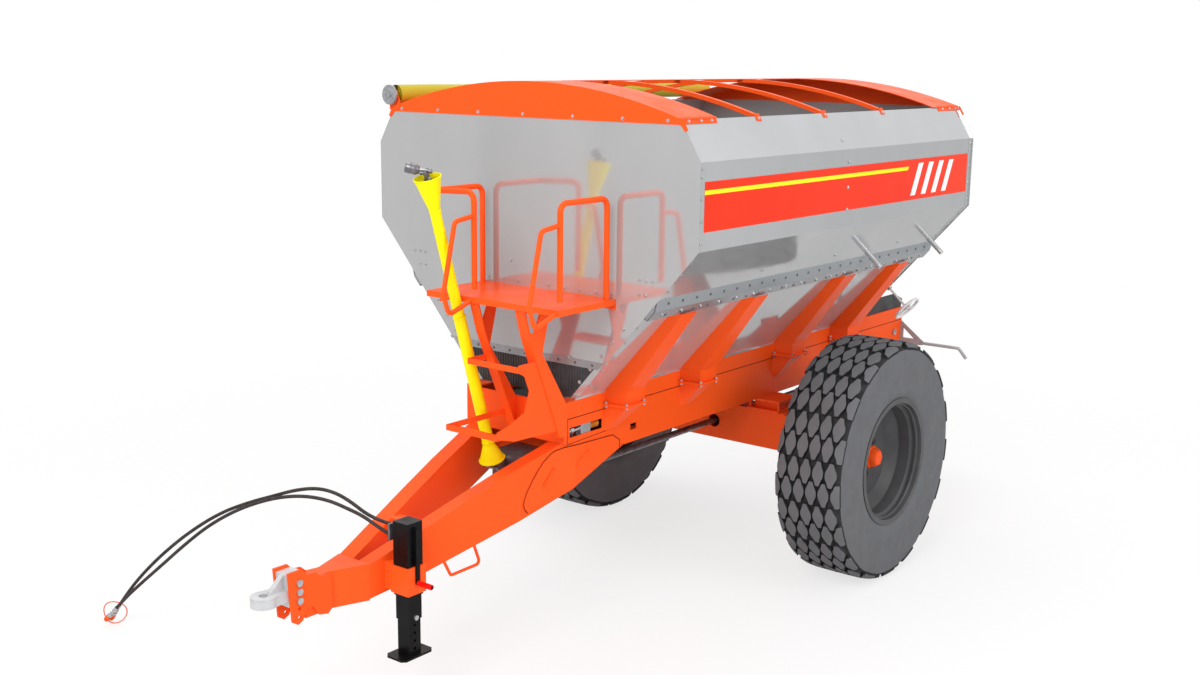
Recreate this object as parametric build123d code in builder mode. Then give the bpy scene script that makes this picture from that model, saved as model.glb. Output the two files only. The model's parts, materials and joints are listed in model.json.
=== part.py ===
"""Trailed belt-floor spreader cart: stainless hopper on an orange chassis, two wheels, V drawbar.

Millimetres. +Z is up, -Y is the hitch end, +X is the left side of the machine.
The origin is on the ground, under the middle of the machine's length and width.
"""
from build123d import *
from math import pi, radians, sqrt, tan
import os

os.makedirs("parts", exist_ok=True)

# ---------------------------------------------------------------- driving dimensions
HOPPER_LENGTH = 3495
HOPPER_TOP_HALF = 1105
HOPPER_MAX_HALF = 1236
CHASSIS_HALF = 392
HOPPER_TOP_Z = 3160
UPPER_BEND_Z = 2939
LOWER_BEND_Z = 2451
HOPPER_FLOOR_Z = 1502
SHEET = 4
WALL_LIP = 12
APRON_TOP_Z = 1700
APRON_T = 8

ROOF_APEX_Z = 3345
ROOF_EDGE_HALF = 1112
ROOF_EDGE_Z = 3166
ROOF_SHEET = 5
CAP_LENGTH_FRONT = 350
CAP_LENGTH_REAR = 415
CAP_LAP = 26
BOW_BACKS = (775, 1545, 2310)
BOW_W = 36
BOW_T = 24

TYRE_R = 820
TYRE_W = 474
TRACK_HALF = 1185
RIM_R = 415
RIM_FLANGE_R = 437
RIM_HALF = 222
RIM_FLANGE_T = 8
RIM_SHELL = 12
TYRE_WALL = 28
HUB_R = 88
WHEEL_NUTS = 8
NUT_PCD = 240
STUB_R = 45
AXLE_BACK = 2181
AXLE_END_X = 950
AXLE_BOTTOM_Z = 762
AXLE_TOP_Z = 1030
AXLE_DEPTH = 200
AXLE_WALL = 12

RAIL_TOP_Z = 1490
RAIL_BOTTOM_Z = 1118
RAIL_WEB = 8
RAIL_FLANGE = 90
CHASSIS_AHEAD = 105
CHASSIS_BACK = 4250
SEAM_Z = 1384

ROLLER_R = 95
ROLLER_Z = 1300
ROLLER_SHAFT_R = 25
ROLLER_FRONT_BACK = 112
ROLLER_REAR_BACK = 4110
BELT_T = 10
BELT_HALF = 345

BEAM_DEPTH = 100
BEAM_WALL = 8
HEEL_T = 12
GEARBOX_REAR = 96
BEAM_NOSE_AHEAD = 1400
BEAM_NOSE_HALF = 122
NOSE_AHEAD = 1780
NOSE_HALF = 50
NOSE_STRAIGHT_AHEAD = 1600
NOSE_Z = (598, 806)
EYE_AHEAD = 2007
EYE_OUTER_R = 68
EYE_BORE_R = 25
EYE_T = 55
EYE_Z = 752
HITCH_PLATE_T = 14
HITCH_PLATE_GAP = 52
HITCH_BOLT_R = 10
HITCH_PITCH = 49
HITCH_TOP_BOLT_Z = 812

JACK_X = 270
JACK_AHEAD = 1255
JACK_OUTER = 110
JACK_WALL = 6
JACK_TOP_Z = 1045
JACK_BOTTOM_Z = 630
JACK_SLEEVE_Z = (645, 800)
JACK_SLEEVE_T = 12
JACK_INNER_WALL = 5
JACK_LEG_WALL = 6
JACK_FOOT = (230, 150)
JACK_FOOT_Z = 285
JACK_FOOT_CORNER = 22
JACK_PIN_Z = 507
JACK_HOLE_PITCH = 45
CRANK_Z = 1000
CRANK_ARM = 290
GRIP_R = 15
GRIP_LENGTH = 100

PTO_PIVOT_X = -40
PTO_PIVOT_AHEAD = 245
PTO_PIVOT_Z = 1060
PTO_LEAN_X = -7
PTO_LEAN_Y = -311
PTO_LEAN_Z = 1067
PTO_TUBE_R = 36
PTO_CONE_R = 78
PTO_LENGTH = 1840

PLATFORM_X = (-328, 688)
PLATFORM_DEPTH = 505
PLATFORM_Z = 2134
PLATFORM_FOLD = 35
RAIL_TUBE_R = 17
HANDRAIL_Z = 2712
LADDER_X = (6, 420)
LADDER_PLATE = 8
TREAD_STEPS = ((520, 1778), (700, 1420))
TREAD_DEPTH = 190

DISC_BACK = 4300
DISC_X = 330
DISC_R = 300
DISC_Z = 962
DRIVE_Z = 885
DRIVE_R = 22

GATE_OPENING_HALF = 330
GATE_OPENING_H = 240
GATE_T = 5

HOSE_R = 10

RUN_CLEAR = 0.08
SLIDE_CLEAR = 0.3

# ---------------------------------------------------------------- worked-out places
REAR_BACK = DISC_BACK + DISC_R
NOSE_TIP_AHEAD = EYE_AHEAD + EYE_OUTER_R
FRONT_Y = (NOSE_TIP_AHEAD - REAR_BACK) / 2
AXLE_Y = FRONT_Y + AXLE_BACK
AXLE_Z = TYRE_R
SLOPE_RUN = HOPPER_MAX_HALF - CHASSIS_HALF
SLOPE_RISE = LOWER_BEND_Z - HOPPER_FLOOR_Z
SLOPE_LENGTH = sqrt(SLOPE_RUN**2 + SLOPE_RISE**2)
SLOPE_OUT = (SLOPE_RISE / SLOPE_LENGTH, -SLOPE_RUN / SLOPE_LENGTH)
SLOPE_UP = (SLOPE_RUN / SLOPE_LENGTH, SLOPE_RISE / SLOPE_LENGTH)


def back(distance):
    """Y of a point that lies this far behind the hopper's front wall."""
    return FRONT_Y + distance


def slope_x(z):
    """Outer half width of the slanted hopper side at a height."""
    return CHASSIS_HALF + (z - HOPPER_FLOOR_Z) * SLOPE_RUN / SLOPE_RISE


def on_slope(along, out):
    """X and Z of a point up the slanted side from its foot, and out from its face."""
    x = CHASSIS_HALF + along * SLOPE_UP[0] + out * SLOPE_OUT[0]
    z = HOPPER_FLOOR_Z + along * SLOPE_UP[1] + out * SLOPE_OUT[1]
    return (x, z)


def ribbon(points, thickness):
    """Outline of a folded sheet: the points, and the same points moved to the left by its thickness."""
    inner = []
    for i, point in enumerate(points):
        here = Vector(*point)
        before = here - Vector(*points[i - 1]) if i > 0 else None
        after = Vector(*points[i + 1]) - here if i < len(points) - 1 else None
        before = (before if before is not None else after).normalized()
        after = (after if after is not None else before).normalized()
        normal = Vector(-before.Y - after.Y, before.X + after.X).normalized()
        half_turn = normal.dot(Vector(-after.Y, after.X))
        inner.append(here + normal * (thickness / half_turn))
    return [Vector(*p) for p in points] + inner[::-1]


def across(y):
    """Upright plane across the machine at a Y: local x is row X, local y is row Z, and it faces the rear."""
    return Plane(origin=(0, y, 0), x_dir=(-1, 0, 0), z_dir=(0, 1, 0))


def facing_front(y):
    """Upright plane across the machine: local x is row X, local y is row Z, extruding to the hitch."""
    return Plane(origin=(0, y, 0), x_dir=(1, 0, 0), z_dir=(0, -1, 0))


def lengthwise(x):
    """Upright plane along the machine at an X: local x is row Y, local y is row Z, extruding to +X."""
    return Plane(origin=(x, 0, 0), x_dir=(0, 1, 0), z_dir=(1, 0, 0))


def finish(builder, label):
    """Name a finished piece and write it."""
    builder.part.label = label
    export_step(builder.part, f"parts/{label}.step")


def add_box(x, y, z):
    """Box between two X, two Y and two Z values, added to the open part."""
    with Locations(((x[0] + x[1]) / 2, (y[0] + y[1]) / 2, (z[0] + z[1]) / 2)):
        Box(abs(x[1] - x[0]), abs(y[1] - y[0]), abs(z[1] - z[0]))


def cut_box(x, y, z):
    """Box between two X, two Y and two Z values, cut from the open part."""
    with Locations(((x[0] + x[1]) / 2, (y[0] + y[1]) / 2, (z[0] + z[1]) / 2)):
        Box(abs(x[1] - x[0]), abs(y[1] - y[0]), abs(z[1] - z[0]), mode=Mode.SUBTRACT)


def bolt_head(place, direction, radius, head_across, head_height):
    """Hexagon head that stands on a face, with the end of its shank showing."""
    with BuildPart() as bolt:
        with BuildSketch(Plane(origin=place, z_dir=direction)):
            RegularPolygon(radius=head_across / 2, side_count=6)
        extrude(amount=head_height)
        with BuildSketch(Plane(origin=Vector(*place) + Vector(*direction) * head_height, z_dir=direction)):
            Circle(radius * 0.8)
        extrude(amount=radius * 0.3)
    return bolt.part


def round_tube(points, bend, radius):
    """Round tube along a bent path."""
    with BuildPart() as tube:
        with BuildLine() as path:
            FilletPolyline(*points, radius=bend)
        with BuildSketch(Plane(origin=path.line @ 0, z_dir=path.line % 0)):
            Circle(radius)
        sweep(path=path.line)
    return tube.part


# ---------------------------------------------------------------- hopper
side_outline = [
    (HOPPER_TOP_HALF, HOPPER_TOP_Z),
    (HOPPER_MAX_HALF, UPPER_BEND_Z),
    (HOPPER_MAX_HALF, LOWER_BEND_Z),
    (CHASSIS_HALF, HOPPER_FLOOR_Z),
    (CHASSIS_HALF, RAIL_TOP_Z),
]
WHEEL_SPINDLE_BACK = HOPPER_LENGTH - 45
SPINDLE_ALONG = 386
SPINDLE_R = 9
SPINDLE_BOSS_R = 20
SPINDLE_BOSS_H = 34
PEG_BACKS = (2400, 3365)
PEG_ALONG = 925
PEG_R = 18
PEG_LENGTH = 145


def hopper_side(side):
    """Folded side panel, with the spindle boss on the left one."""
    outline = [(side * x, z) for x, z in side_outline]
    folded = ribbon(outline, SHEET if side < 0 else -SHEET)
    with BuildPart() as panel:
        with BuildSketch(facing_front(back(HOPPER_LENGTH - SHEET))):
            with BuildLine():
                Polyline(*folded, close=True)
            make_face()
        extrude(amount=HOPPER_LENGTH - 2 * SHEET)
        if side > 0:
            x, z = on_slope(SPINDLE_ALONG, 0)
            boss = Plane(origin=(x, back(WHEEL_SPINDLE_BACK), z), z_dir=(SLOPE_OUT[0], 0, SLOPE_OUT[1]))
            with BuildSketch(boss):
                Circle(SPINDLE_BOSS_R)
            extrude(amount=SPINDLE_BOSS_H)
            with BuildSketch(boss.offset(SPINDLE_BOSS_H)):
                Circle(SPINDLE_R + RUN_CLEAR)
            extrude(amount=-(SPINDLE_BOSS_H - SHEET), mode=Mode.SUBTRACT)
        for peg_back in PEG_BACKS:
            x, z = on_slope(PEG_ALONG, 0)
            direction = (side * SLOPE_OUT[0], 0, SLOPE_OUT[1])
            with BuildSketch(Plane(origin=(side * x, back(peg_back), z), z_dir=direction)):
                Circle(PEG_R)
            extrude(amount=PEG_LENGTH)
    return panel


for side, name in ((1, "hopper_side_left"), (-1, "hopper_side_right")):
    finish(hopper_side(side), name)

wall_outline = [
    (-HOPPER_TOP_HALF - WALL_LIP, HOPPER_TOP_Z),
    (-HOPPER_MAX_HALF - WALL_LIP, UPPER_BEND_Z),
    (-HOPPER_MAX_HALF - WALL_LIP, LOWER_BEND_Z),
    (-CHASSIS_HALF - WALL_LIP, HOPPER_FLOOR_Z),
    (CHASSIS_HALF + WALL_LIP, HOPPER_FLOOR_Z),
    (HOPPER_MAX_HALF + WALL_LIP, LOWER_BEND_Z),
    (HOPPER_MAX_HALF + WALL_LIP, UPPER_BEND_Z),
    (HOPPER_TOP_HALF + WALL_LIP, HOPPER_TOP_Z),
]
APRON_STRIP = 36
with BuildPart() as hopper_front_wall:
    with BuildSketch(facing_front(back(SHEET))):
        with BuildLine():
            Polyline(*wall_outline, close=True)
        make_face()
        with BuildLine():
            Polyline(
                (-slope_x(APRON_TOP_Z) + APRON_STRIP, APRON_TOP_Z),
                (-CHASSIS_HALF + APRON_STRIP, HOPPER_FLOOR_Z),
                (CHASSIS_HALF - APRON_STRIP, HOPPER_FLOOR_Z),
                (slope_x(APRON_TOP_Z) - APRON_STRIP, APRON_TOP_Z),
                close=True,
            )
        make_face(mode=Mode.SUBTRACT)
    extrude(amount=SHEET)
finish(hopper_front_wall, "hopper_front_wall")

GATE_GUIDE_W = 26
GATE_GUIDE_H = 480
GATE_HALF = GATE_OPENING_HALF + 22
with BuildPart() as hopper_rear_wall:
    with BuildSketch(facing_front(back(HOPPER_LENGTH))):
        with BuildLine():
            Polyline(*wall_outline, close=True)
        make_face()
    extrude(amount=SHEET)
    cut_box(
        (-GATE_OPENING_HALF, GATE_OPENING_HALF),
        (back(HOPPER_LENGTH - 2 * SHEET), back(HOPPER_LENGTH + SHEET)),
        (HOPPER_FLOOR_Z - SHEET, HOPPER_FLOOR_Z + GATE_OPENING_H),
    )
    for side in (-1, 1):
        inner = GATE_HALF + SLIDE_CLEAR
        guide_back = HOPPER_LENGTH + GATE_T + 2 * SLIDE_CLEAR
        add_box(
            (side * inner, side * (inner + 6)),
            (back(HOPPER_LENGTH), back(guide_back + 6)),
            (HOPPER_FLOOR_Z + 70, HOPPER_FLOOR_Z + GATE_GUIDE_H),
        )
        add_box(
            (side * (inner + 6), side * (inner - GATE_GUIDE_W)),
            (back(guide_back), back(guide_back + 6)),
            (HOPPER_FLOOR_Z + 70, HOPPER_FLOOR_Z + GATE_GUIDE_H),
        )
finish(hopper_rear_wall, "hopper_rear_wall")

GATE_H = 262
with BuildPart() as feed_gate:
    gate_y = back(HOPPER_LENGTH + SLIDE_CLEAR)
    add_box((-GATE_HALF, GATE_HALF), (gate_y, gate_y + GATE_T), (HOPPER_FLOOR_Z + 4, HOPPER_FLOOR_Z + GATE_H))
    add_box((-40, 40), (gate_y + GATE_T, gate_y + 30), (HOPPER_FLOOR_Z + 200, HOPPER_FLOOR_Z + 214))
finish(feed_gate, "feed_gate")

SEAL_CLEAR = 9
SKIRT_TOP_Z = 1612
with BuildPart() as belt_seals:
    with BuildSketch(facing_front(back(SHEET + APRON_T))):
        with BuildLine():
            Polyline(
                (-slope_x(APRON_TOP_Z + 20) + SEAL_CLEAR, APRON_TOP_Z + 20),
                (-CHASSIS_HALF + SEAL_CLEAR, HOPPER_FLOOR_Z),
                (CHASSIS_HALF - SEAL_CLEAR, HOPPER_FLOOR_Z),
                (slope_x(APRON_TOP_Z + 20) - SEAL_CLEAR, APRON_TOP_Z + 20),
                close=True,
            )
        make_face()
    extrude(amount=APRON_T)
    for side in (-1, 1):
        with BuildSketch(lengthwise(side * (CHASSIS_HALF - 20) if side > 0 else -CHASSIS_HALF + 14)):
            with BuildLine():
                Polyline(
                    (back(HOPPER_LENGTH + SHEET), RAIL_TOP_Z),
                    (back(CHASSIS_BACK), RAIL_TOP_Z),
                    (back(CHASSIS_BACK + 20), SKIRT_TOP_Z - 60),
                    (back(CHASSIS_BACK - 120), SKIRT_TOP_Z),
                    (back(HOPPER_LENGTH + SHEET), SKIRT_TOP_Z),
                    close=True,
                )
            make_face()
        extrude(amount=6)
finish(belt_seals, "belt_seals")

# Ledge rail: folded angle on the slanted side, from the front wall to the rear wall.
LEDGE_LOW = 728
LEDGE_HIGH = 886
LEDGE_OUT = 34
LEDGE_T = 5
LEDGE_BOLTS = 18
with BuildPart() as ledge_rails:
    for side in (-1, 1):
        low = on_slope(LEDGE_LOW, 0)
        low_out = on_slope(LEDGE_LOW + 12, LEDGE_OUT)
        high_out = on_slope(LEDGE_HIGH - 70, LEDGE_OUT)
        high = on_slope(LEDGE_HIGH, 0)
        inner_low = on_slope(LEDGE_LOW + LEDGE_T, 0)
        inner_low_out = on_slope(LEDGE_LOW + 12 + LEDGE_T, LEDGE_OUT - LEDGE_T)
        inner_high_out = on_slope(LEDGE_HIGH - 70 - LEDGE_T, LEDGE_OUT - LEDGE_T)
        inner_high = on_slope(LEDGE_HIGH - 14, 0)
        outline = [low, low_out, high_out, high, inner_high, inner_high_out, inner_low_out, inner_low]
        with BuildSketch(facing_front(back(HOPPER_LENGTH - SHEET))):
            with BuildLine():
                Polyline(*[(side * x, z) for x, z in outline], close=True)
            make_face()
        extrude(amount=HOPPER_LENGTH - 2 * SHEET)
finish(ledge_rails, "ledge_rails")

# ---------------------------------------------------------------- side braces
BRACE_BACKS = (285, 1075, 2225, 3035)
BRACE_OUT_LOW = 138
BRACE_OUT_HIGH = 66
BRACE_WIDTH_LOW = 185
BRACE_WIDTH_HIGH = 150
BRACE_LEAN = 34
BRACE_T = 8
BRACE_FOOT_Z = 1416
BRACE_FLANGE_T = 7
BRACE_TOP_ALONG = LEDGE_LOW - 20
GUSSET_DEPTH = 160


def brace_section(start, out, width, thickness):
    """L section in plan: a web that stands out from the chassis and a face that runs to the rear."""
    return [
        (start[0], start[1]),
        (start[0] + out, start[1] + BRACE_LEAN),
        (start[0] + out, start[1] + BRACE_LEAN + width),
        (start[0] + out - thickness, start[1] + BRACE_LEAN + width),
        (start[0] + out - thickness, start[1] + BRACE_LEAN + thickness),
        (start[0], start[1] + thickness),
    ]


def brace_loft(side, sections):
    """Ruled loft through L sections, each given as (height, start, out, width)."""
    with BuildPart() as solid:
        for height, start, out, width in sections:
            with BuildSketch(Plane.XY.offset(height)):
                with BuildLine():
                    Polyline(*[(side * x, y) for x, y in brace_section(start, out, width, BRACE_T)], close=True)
                make_face()
        loft(ruled=True)
    return solid.part


def brace_flange(side, y, z):
    """Flange plate under a brace, between two heights."""
    with BuildPart() as plate:
        with BuildSketch(Plane.XY.offset(z[0])):
            with BuildLine():
                Polyline(
                    (side * CHASSIS_HALF, y - 28),
                    (side * (CHASSIS_HALF + BRACE_OUT_LOW + 26), y + 6),
                    (side * (CHASSIS_HALF + BRACE_OUT_LOW + 26), y + BRACE_WIDTH_LOW + BRACE_LEAN),
                    (side * CHASSIS_HALF, y + BRACE_WIDTH_LOW + BRACE_LEAN),
                    close=True,
                )
            make_face()
        extrude(amount=z[1] - z[0])
    return plate.part


with BuildPart() as side_braces:
    top_x, top_z = on_slope(BRACE_TOP_ALONG, 0)
    for side in (-1, 1):
        for brace_back in BRACE_BACKS:
            y = back(brace_back)
            foot = (CHASSIS_HALF, y)
            add(
                brace_loft(
                    side,
                    [
                        (BRACE_FOOT_Z, foot, BRACE_OUT_LOW, BRACE_WIDTH_LOW),
                        (HOPPER_FLOOR_Z, foot, BRACE_OUT_LOW, BRACE_WIDTH_LOW),
                        (top_z, (top_x, y), BRACE_OUT_HIGH, BRACE_WIDTH_HIGH),
                    ],
                )
            )
            add(brace_flange(side, y, (BRACE_FOOT_Z, BRACE_FOOT_Z + BRACE_FLANGE_T)))
            add(brace_flange(side, y, (BRACE_FOOT_Z - BRACE_FLANGE_T, BRACE_FOOT_Z)))
            gusset_top = BRACE_FOOT_Z - BRACE_FLANGE_T
            add(
                brace_loft(
                    side,
                    [
                        (gusset_top, foot, BRACE_OUT_LOW, BRACE_WIDTH_LOW),
                        (gusset_top - GUSSET_DEPTH, foot, 14, 60),
                    ],
                )
            )
finish(side_braces, "side_braces")

# ---------------------------------------------------------------- roof
ARC_SAG = ROOF_APEX_Z - ROOF_EDGE_Z
ROOF_RADIUS = (ROOF_EDGE_HALF**2 + ARC_SAG**2) / (2 * ARC_SAG)
ROOF_CENTRE_Z = ROOF_APEX_Z - ROOF_RADIUS


def roof_z(x, depth=0):
    """Height of the roof curve at an X, this far under its outer face."""
    return ROOF_CENTRE_Z + sqrt((ROOF_RADIUS - depth) ** 2 - x**2)


def roof_band(half, depth):
    """Closed line round a strip of the roof curve, as wide as twice a half width."""
    outer = ThreePointArc((-half, roof_z(half)), (0, ROOF_APEX_Z), (half, roof_z(half)))
    inner = ThreePointArc((half, roof_z(half, depth)), (0, ROOF_APEX_Z - depth), (-half, roof_z(half, depth)))
    Line(outer @ 1, inner @ 0)
    Line(inner @ 1, outer @ 0)


TARP_X = -1118
TARP_Z = 3238
TARP_R = 64
TARP_TUBE_R = 16
EAR_T = 8


def roof_cap(near, far, outwards):
    """End cap: a crescent face lapped over the end wall, a curved top sheet, and the tarp's bearing ear."""
    face_y = near
    with BuildPart() as cap:
        with BuildSketch(across(face_y) if outwards > 0 else facing_front(face_y)):
            with BuildLine():
                arc = ThreePointArc(
                    (-ROOF_EDGE_HALF, ROOF_EDGE_Z), (0, ROOF_APEX_Z), (ROOF_EDGE_HALF, ROOF_EDGE_Z)
                )
                Polyline(
                    arc @ 1,
                    (ROOF_EDGE_HALF, HOPPER_TOP_Z - CAP_LAP),
                    (-ROOF_EDGE_HALF, HOPPER_TOP_Z - CAP_LAP),
                    arc @ 0,
                )
            make_face()
        extrude(amount=ROOF_SHEET)
        with BuildSketch(across(face_y) if outwards < 0 else facing_front(face_y)):
            with BuildLine():
                roof_band(ROOF_EDGE_HALF, ROOF_SHEET)
            make_face()
        extrude(amount=abs(far - near))
        with BuildSketch(across(face_y) if outwards > 0 else facing_front(face_y)):
            ear_side = TARP_X if outwards < 0 else -TARP_X
            with BuildLine():
                Polyline(
                    (ear_side - 30, HOPPER_TOP_Z - CAP_LAP + 10),
                    (ear_side + 60, HOPPER_TOP_Z - CAP_LAP + 10),
                    (ear_side + 60, TARP_Z - 40),
                    (ear_side + 30, TARP_Z + 30),
                    (ear_side - 30, TARP_Z + 30),
                    close=True,
                )
            make_face()
        extrude(amount=EAR_T)
        with BuildSketch(facing_front(near + 60)):
            with Locations((TARP_X, TARP_Z)):
                Circle(TARP_TUBE_R + RUN_CLEAR)
        extrude(amount=120, mode=Mode.SUBTRACT)
    return cap


finish(roof_cap(back(0), back(CAP_LENGTH_FRONT), -1), "front_cap")
finish(roof_cap(back(HOPPER_LENGTH), back(HOPPER_LENGTH - CAP_LENGTH_REAR), 1), "rear_cap")

STRAP_W = 42
STRAP_T = 4
with BuildPart() as roof_bows:
    for bow_back in BOW_BACKS:
        with BuildSketch(facing_front(back(bow_back) + BOW_W / 2)):
            with BuildLine():
                roof_band(HOPPER_TOP_HALF - SHEET / 2, BOW_T)
            make_face()
            with Locations((0, HOPPER_TOP_Z - 100)):
                Rectangle(2 * ROOF_EDGE_HALF, 200, mode=Mode.SUBTRACT)
        extrude(amount=BOW_W)
    add_box(
        (-STRAP_W / 2, STRAP_W / 2),
        (back(CAP_LENGTH_FRONT), back(HOPPER_LENGTH - CAP_LENGTH_REAR)),
        (ROOF_APEX_Z - STRAP_T, ROOF_APEX_Z + 1),
    )
finish(roof_bows, "roof_bows")

# ---------------------------------------------------------------- rolled tarp and its crank disc
ROLL_AHEAD = -16
ROLL_BACK = HOPPER_LENGTH - 16
with BuildPart() as tarp_tube:
    with BuildSketch(facing_front(back(HOPPER_LENGTH + 20))):
        with Locations((TARP_X, TARP_Z)):
            Circle(TARP_TUBE_R)
    extrude(amount=HOPPER_LENGTH + 20 + 46)
    with BuildSketch(facing_front(back(-28))):
        with Locations((TARP_X, TARP_Z)):
            Circle(62)
            Circle(TARP_TUBE_R, mode=Mode.SUBTRACT)
    extrude(amount=14)
finish(tarp_tube, "tarp_tube")

with BuildPart() as tarp_roll:
    with BuildSketch(facing_front(back(ROLL_BACK))):
        with Locations((TARP_X, TARP_Z)):
            Circle(TARP_R)
            Circle(TARP_TUBE_R, mode=Mode.SUBTRACT)
    extrude(amount=ROLL_BACK + ROLL_AHEAD)
finish(tarp_roll, "tarp_roll")

# ---------------------------------------------------------------- chassis
WINDOW_BACK = (-48, 262)
WINDOW_Z = (1268, 1330)
SLOT_BACK = (545, 610)
SLOT_Z = (1196, 1236)
CUT_TOP_Z = 1242
CUT_BACK = 473
REAR_SHAFT_HOLE = ROLLER_SHAFT_R + RUN_CLEAR


def rail_edge_z(distance):
    """Height of the rail's slanted front lower edge, at a distance behind the hopper wall."""
    return CUT_TOP_Z + (distance + CHASSIS_AHEAD) * (RAIL_BOTTOM_Z - CUT_TOP_Z) / (CUT_BACK + CHASSIS_AHEAD)


def chassis_rail(side):
    """Deep channel rail, with the front lower corner cut for the drawbar and a window for the tensioner."""
    web = side * CHASSIS_HALF
    inner = side * (CHASSIS_HALF - RAIL_WEB)
    flange = side * (CHASSIS_HALF - RAIL_FLANGE)
    ends = (back(-CHASSIS_AHEAD), back(CHASSIS_BACK))
    with BuildPart() as rail:
        add_box((inner, web), ends, (RAIL_BOTTOM_Z, RAIL_TOP_Z))
        add_box((flange, web), ends, (RAIL_TOP_Z - RAIL_WEB, RAIL_TOP_Z))
        add_box((flange, web), ends, (RAIL_BOTTOM_Z, RAIL_BOTTOM_Z + RAIL_WEB))
        cut_box(
            (flange - side, web + side),
            (back(-CHASSIS_AHEAD - 1), back(CUT_BACK)),
            (RAIL_BOTTOM_Z - 1, RAIL_BOTTOM_Z + RAIL_WEB),
        )
        with BuildSketch(lengthwise(min(flange, web) - 1)):
            with BuildLine():
                Polyline(
                    (back(-CHASSIS_AHEAD - 2), RAIL_BOTTOM_Z - 2),
                    (back(-CHASSIS_AHEAD - 2), rail_edge_z(-CHASSIS_AHEAD - 2)),
                    (back(CUT_BACK), RAIL_BOTTOM_Z),
                    (back(CUT_BACK), RAIL_BOTTOM_Z - 2),
                    close=True,
                )
            make_face()
        extrude(amount=RAIL_FLANGE + 2, mode=Mode.SUBTRACT)
        cut_box((inner - side, web + side), (back(WINDOW_BACK[0]), back(WINDOW_BACK[1])), WINDOW_Z)
        cut_box((inner - side, web + side), (back(SLOT_BACK[0]), back(SLOT_BACK[1])), SLOT_Z)
        cut_box((web - side * 1.5, web + side), (ends[0] - 1, ends[1] + 1), (SEAM_Z, SEAM_Z + 4))
        with BuildSketch(lengthwise(min(inner, web) - 1)):
            with Locations((back(ROLLER_REAR_BACK), ROLLER_Z)):
                Circle(REAR_SHAFT_HOLE)
        extrude(amount=RAIL_WEB + 2, mode=Mode.SUBTRACT)
    return rail


for side, name in ((1, "chassis_left"), (-1, "chassis_right")):
    finish(chassis_rail(side), name)

MEMBER_BACKS = (700, 1450, 2181, 2900, 3620)
MEMBER_W = 60
MEMBER_H = 64
MEMBER_WALL = 5
BED_T = 5
with BuildPart() as chassis_crossmembers:
    inner = CHASSIS_HALF - RAIL_WEB
    lower_z = RAIL_BOTTOM_Z + RAIL_WEB
    bed_top = ROLLER_Z + ROLLER_R - SLIDE_CLEAR
    for member_back in MEMBER_BACKS:
        y = (back(member_back) - MEMBER_W / 2, back(member_back) + MEMBER_W / 2)
        y_in = (y[0] + MEMBER_WALL, y[1] - MEMBER_WALL)
        add_box((-inner, inner), y, (lower_z, lower_z + MEMBER_H))
        cut_box((-inner - 1, inner + 1), y_in, (lower_z + MEMBER_WALL, lower_z + MEMBER_H - MEMBER_WALL))
        upper = (bed_top - BED_T - 45, bed_top - BED_T)
        add_box((-inner, inner), y, upper)
        cut_box((-inner - 1, inner + 1), y_in, (upper[0] + MEMBER_WALL, upper[1] - MEMBER_WALL))
    add_box((-BELT_HALF, BELT_HALF), (back(MEMBER_BACKS[0] - 120), back(MEMBER_BACKS[-1] + 120)), (bed_top - BED_T, bed_top))
    add_box((-inner, inner), (back(-CHASSIS_AHEAD), back(-CHASSIS_AHEAD + 8)), (CUT_TOP_Z, RAIL_TOP_Z - RAIL_WEB))
    carrier_half = CHASSIS_HALF - HEEL_T
    add_box((-carrier_half, carrier_half), (back(GEARBOX_REAR), back(GEARBOX_REAR + 10)), (990, 1178))
finish(chassis_crossmembers, "chassis_crossmembers")

# ---------------------------------------------------------------- belt and rollers
BELT_INNER_R = ROLLER_R + SLIDE_CLEAR
with BuildPart() as conveyor_belt:
    middle = (back(ROLLER_FRONT_BACK) + back(ROLLER_REAR_BACK)) / 2
    span = ROLLER_REAR_BACK - ROLLER_FRONT_BACK
    with BuildSketch(lengthwise(-BELT_HALF)):
        with Locations((middle, ROLLER_Z)):
            SlotCenterToCenter(span, 2 * (BELT_INNER_R + BELT_T))
            SlotCenterToCenter(span, 2 * BELT_INNER_R, mode=Mode.SUBTRACT)
    extrude(amount=2 * BELT_HALF)
finish(conveyor_belt, "conveyor_belt")

BLOCK_INNER = 348
BLOCK_OUTER = CHASSIS_HALF - RAIL_WEB - 1
FRONT_SHAFT_END = BLOCK_OUTER - 1
REAR_SHAFT_END = CHASSIS_HALF + 16


def belt_roller(roller_back, shaft_end):
    """Drum on a through shaft."""
    with BuildPart() as roller:
        with BuildSketch(lengthwise(-BELT_HALF + 3)):
            with Locations((back(roller_back), ROLLER_Z)):
                Circle(ROLLER_R)
                Circle(ROLLER_R - 9, mode=Mode.SUBTRACT)
        extrude(amount=2 * (BELT_HALF - 3))
        for end in (-1, 1):
            with BuildSketch(lengthwise(end * (BELT_HALF - 20) - 5)):
                with Locations((back(roller_back), ROLLER_Z)):
                    Circle(ROLLER_R - 4)
            extrude(amount=10)
        with BuildSketch(lengthwise(-shaft_end)):
            with Locations((back(roller_back), ROLLER_Z)):
                Circle(ROLLER_SHAFT_R)
        extrude(amount=2 * shaft_end)
    return roller


finish(belt_roller(ROLLER_FRONT_BACK, FRONT_SHAFT_END), "front_roller")
finish(belt_roller(ROLLER_REAR_BACK, REAR_SHAFT_END), "rear_roller")

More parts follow.
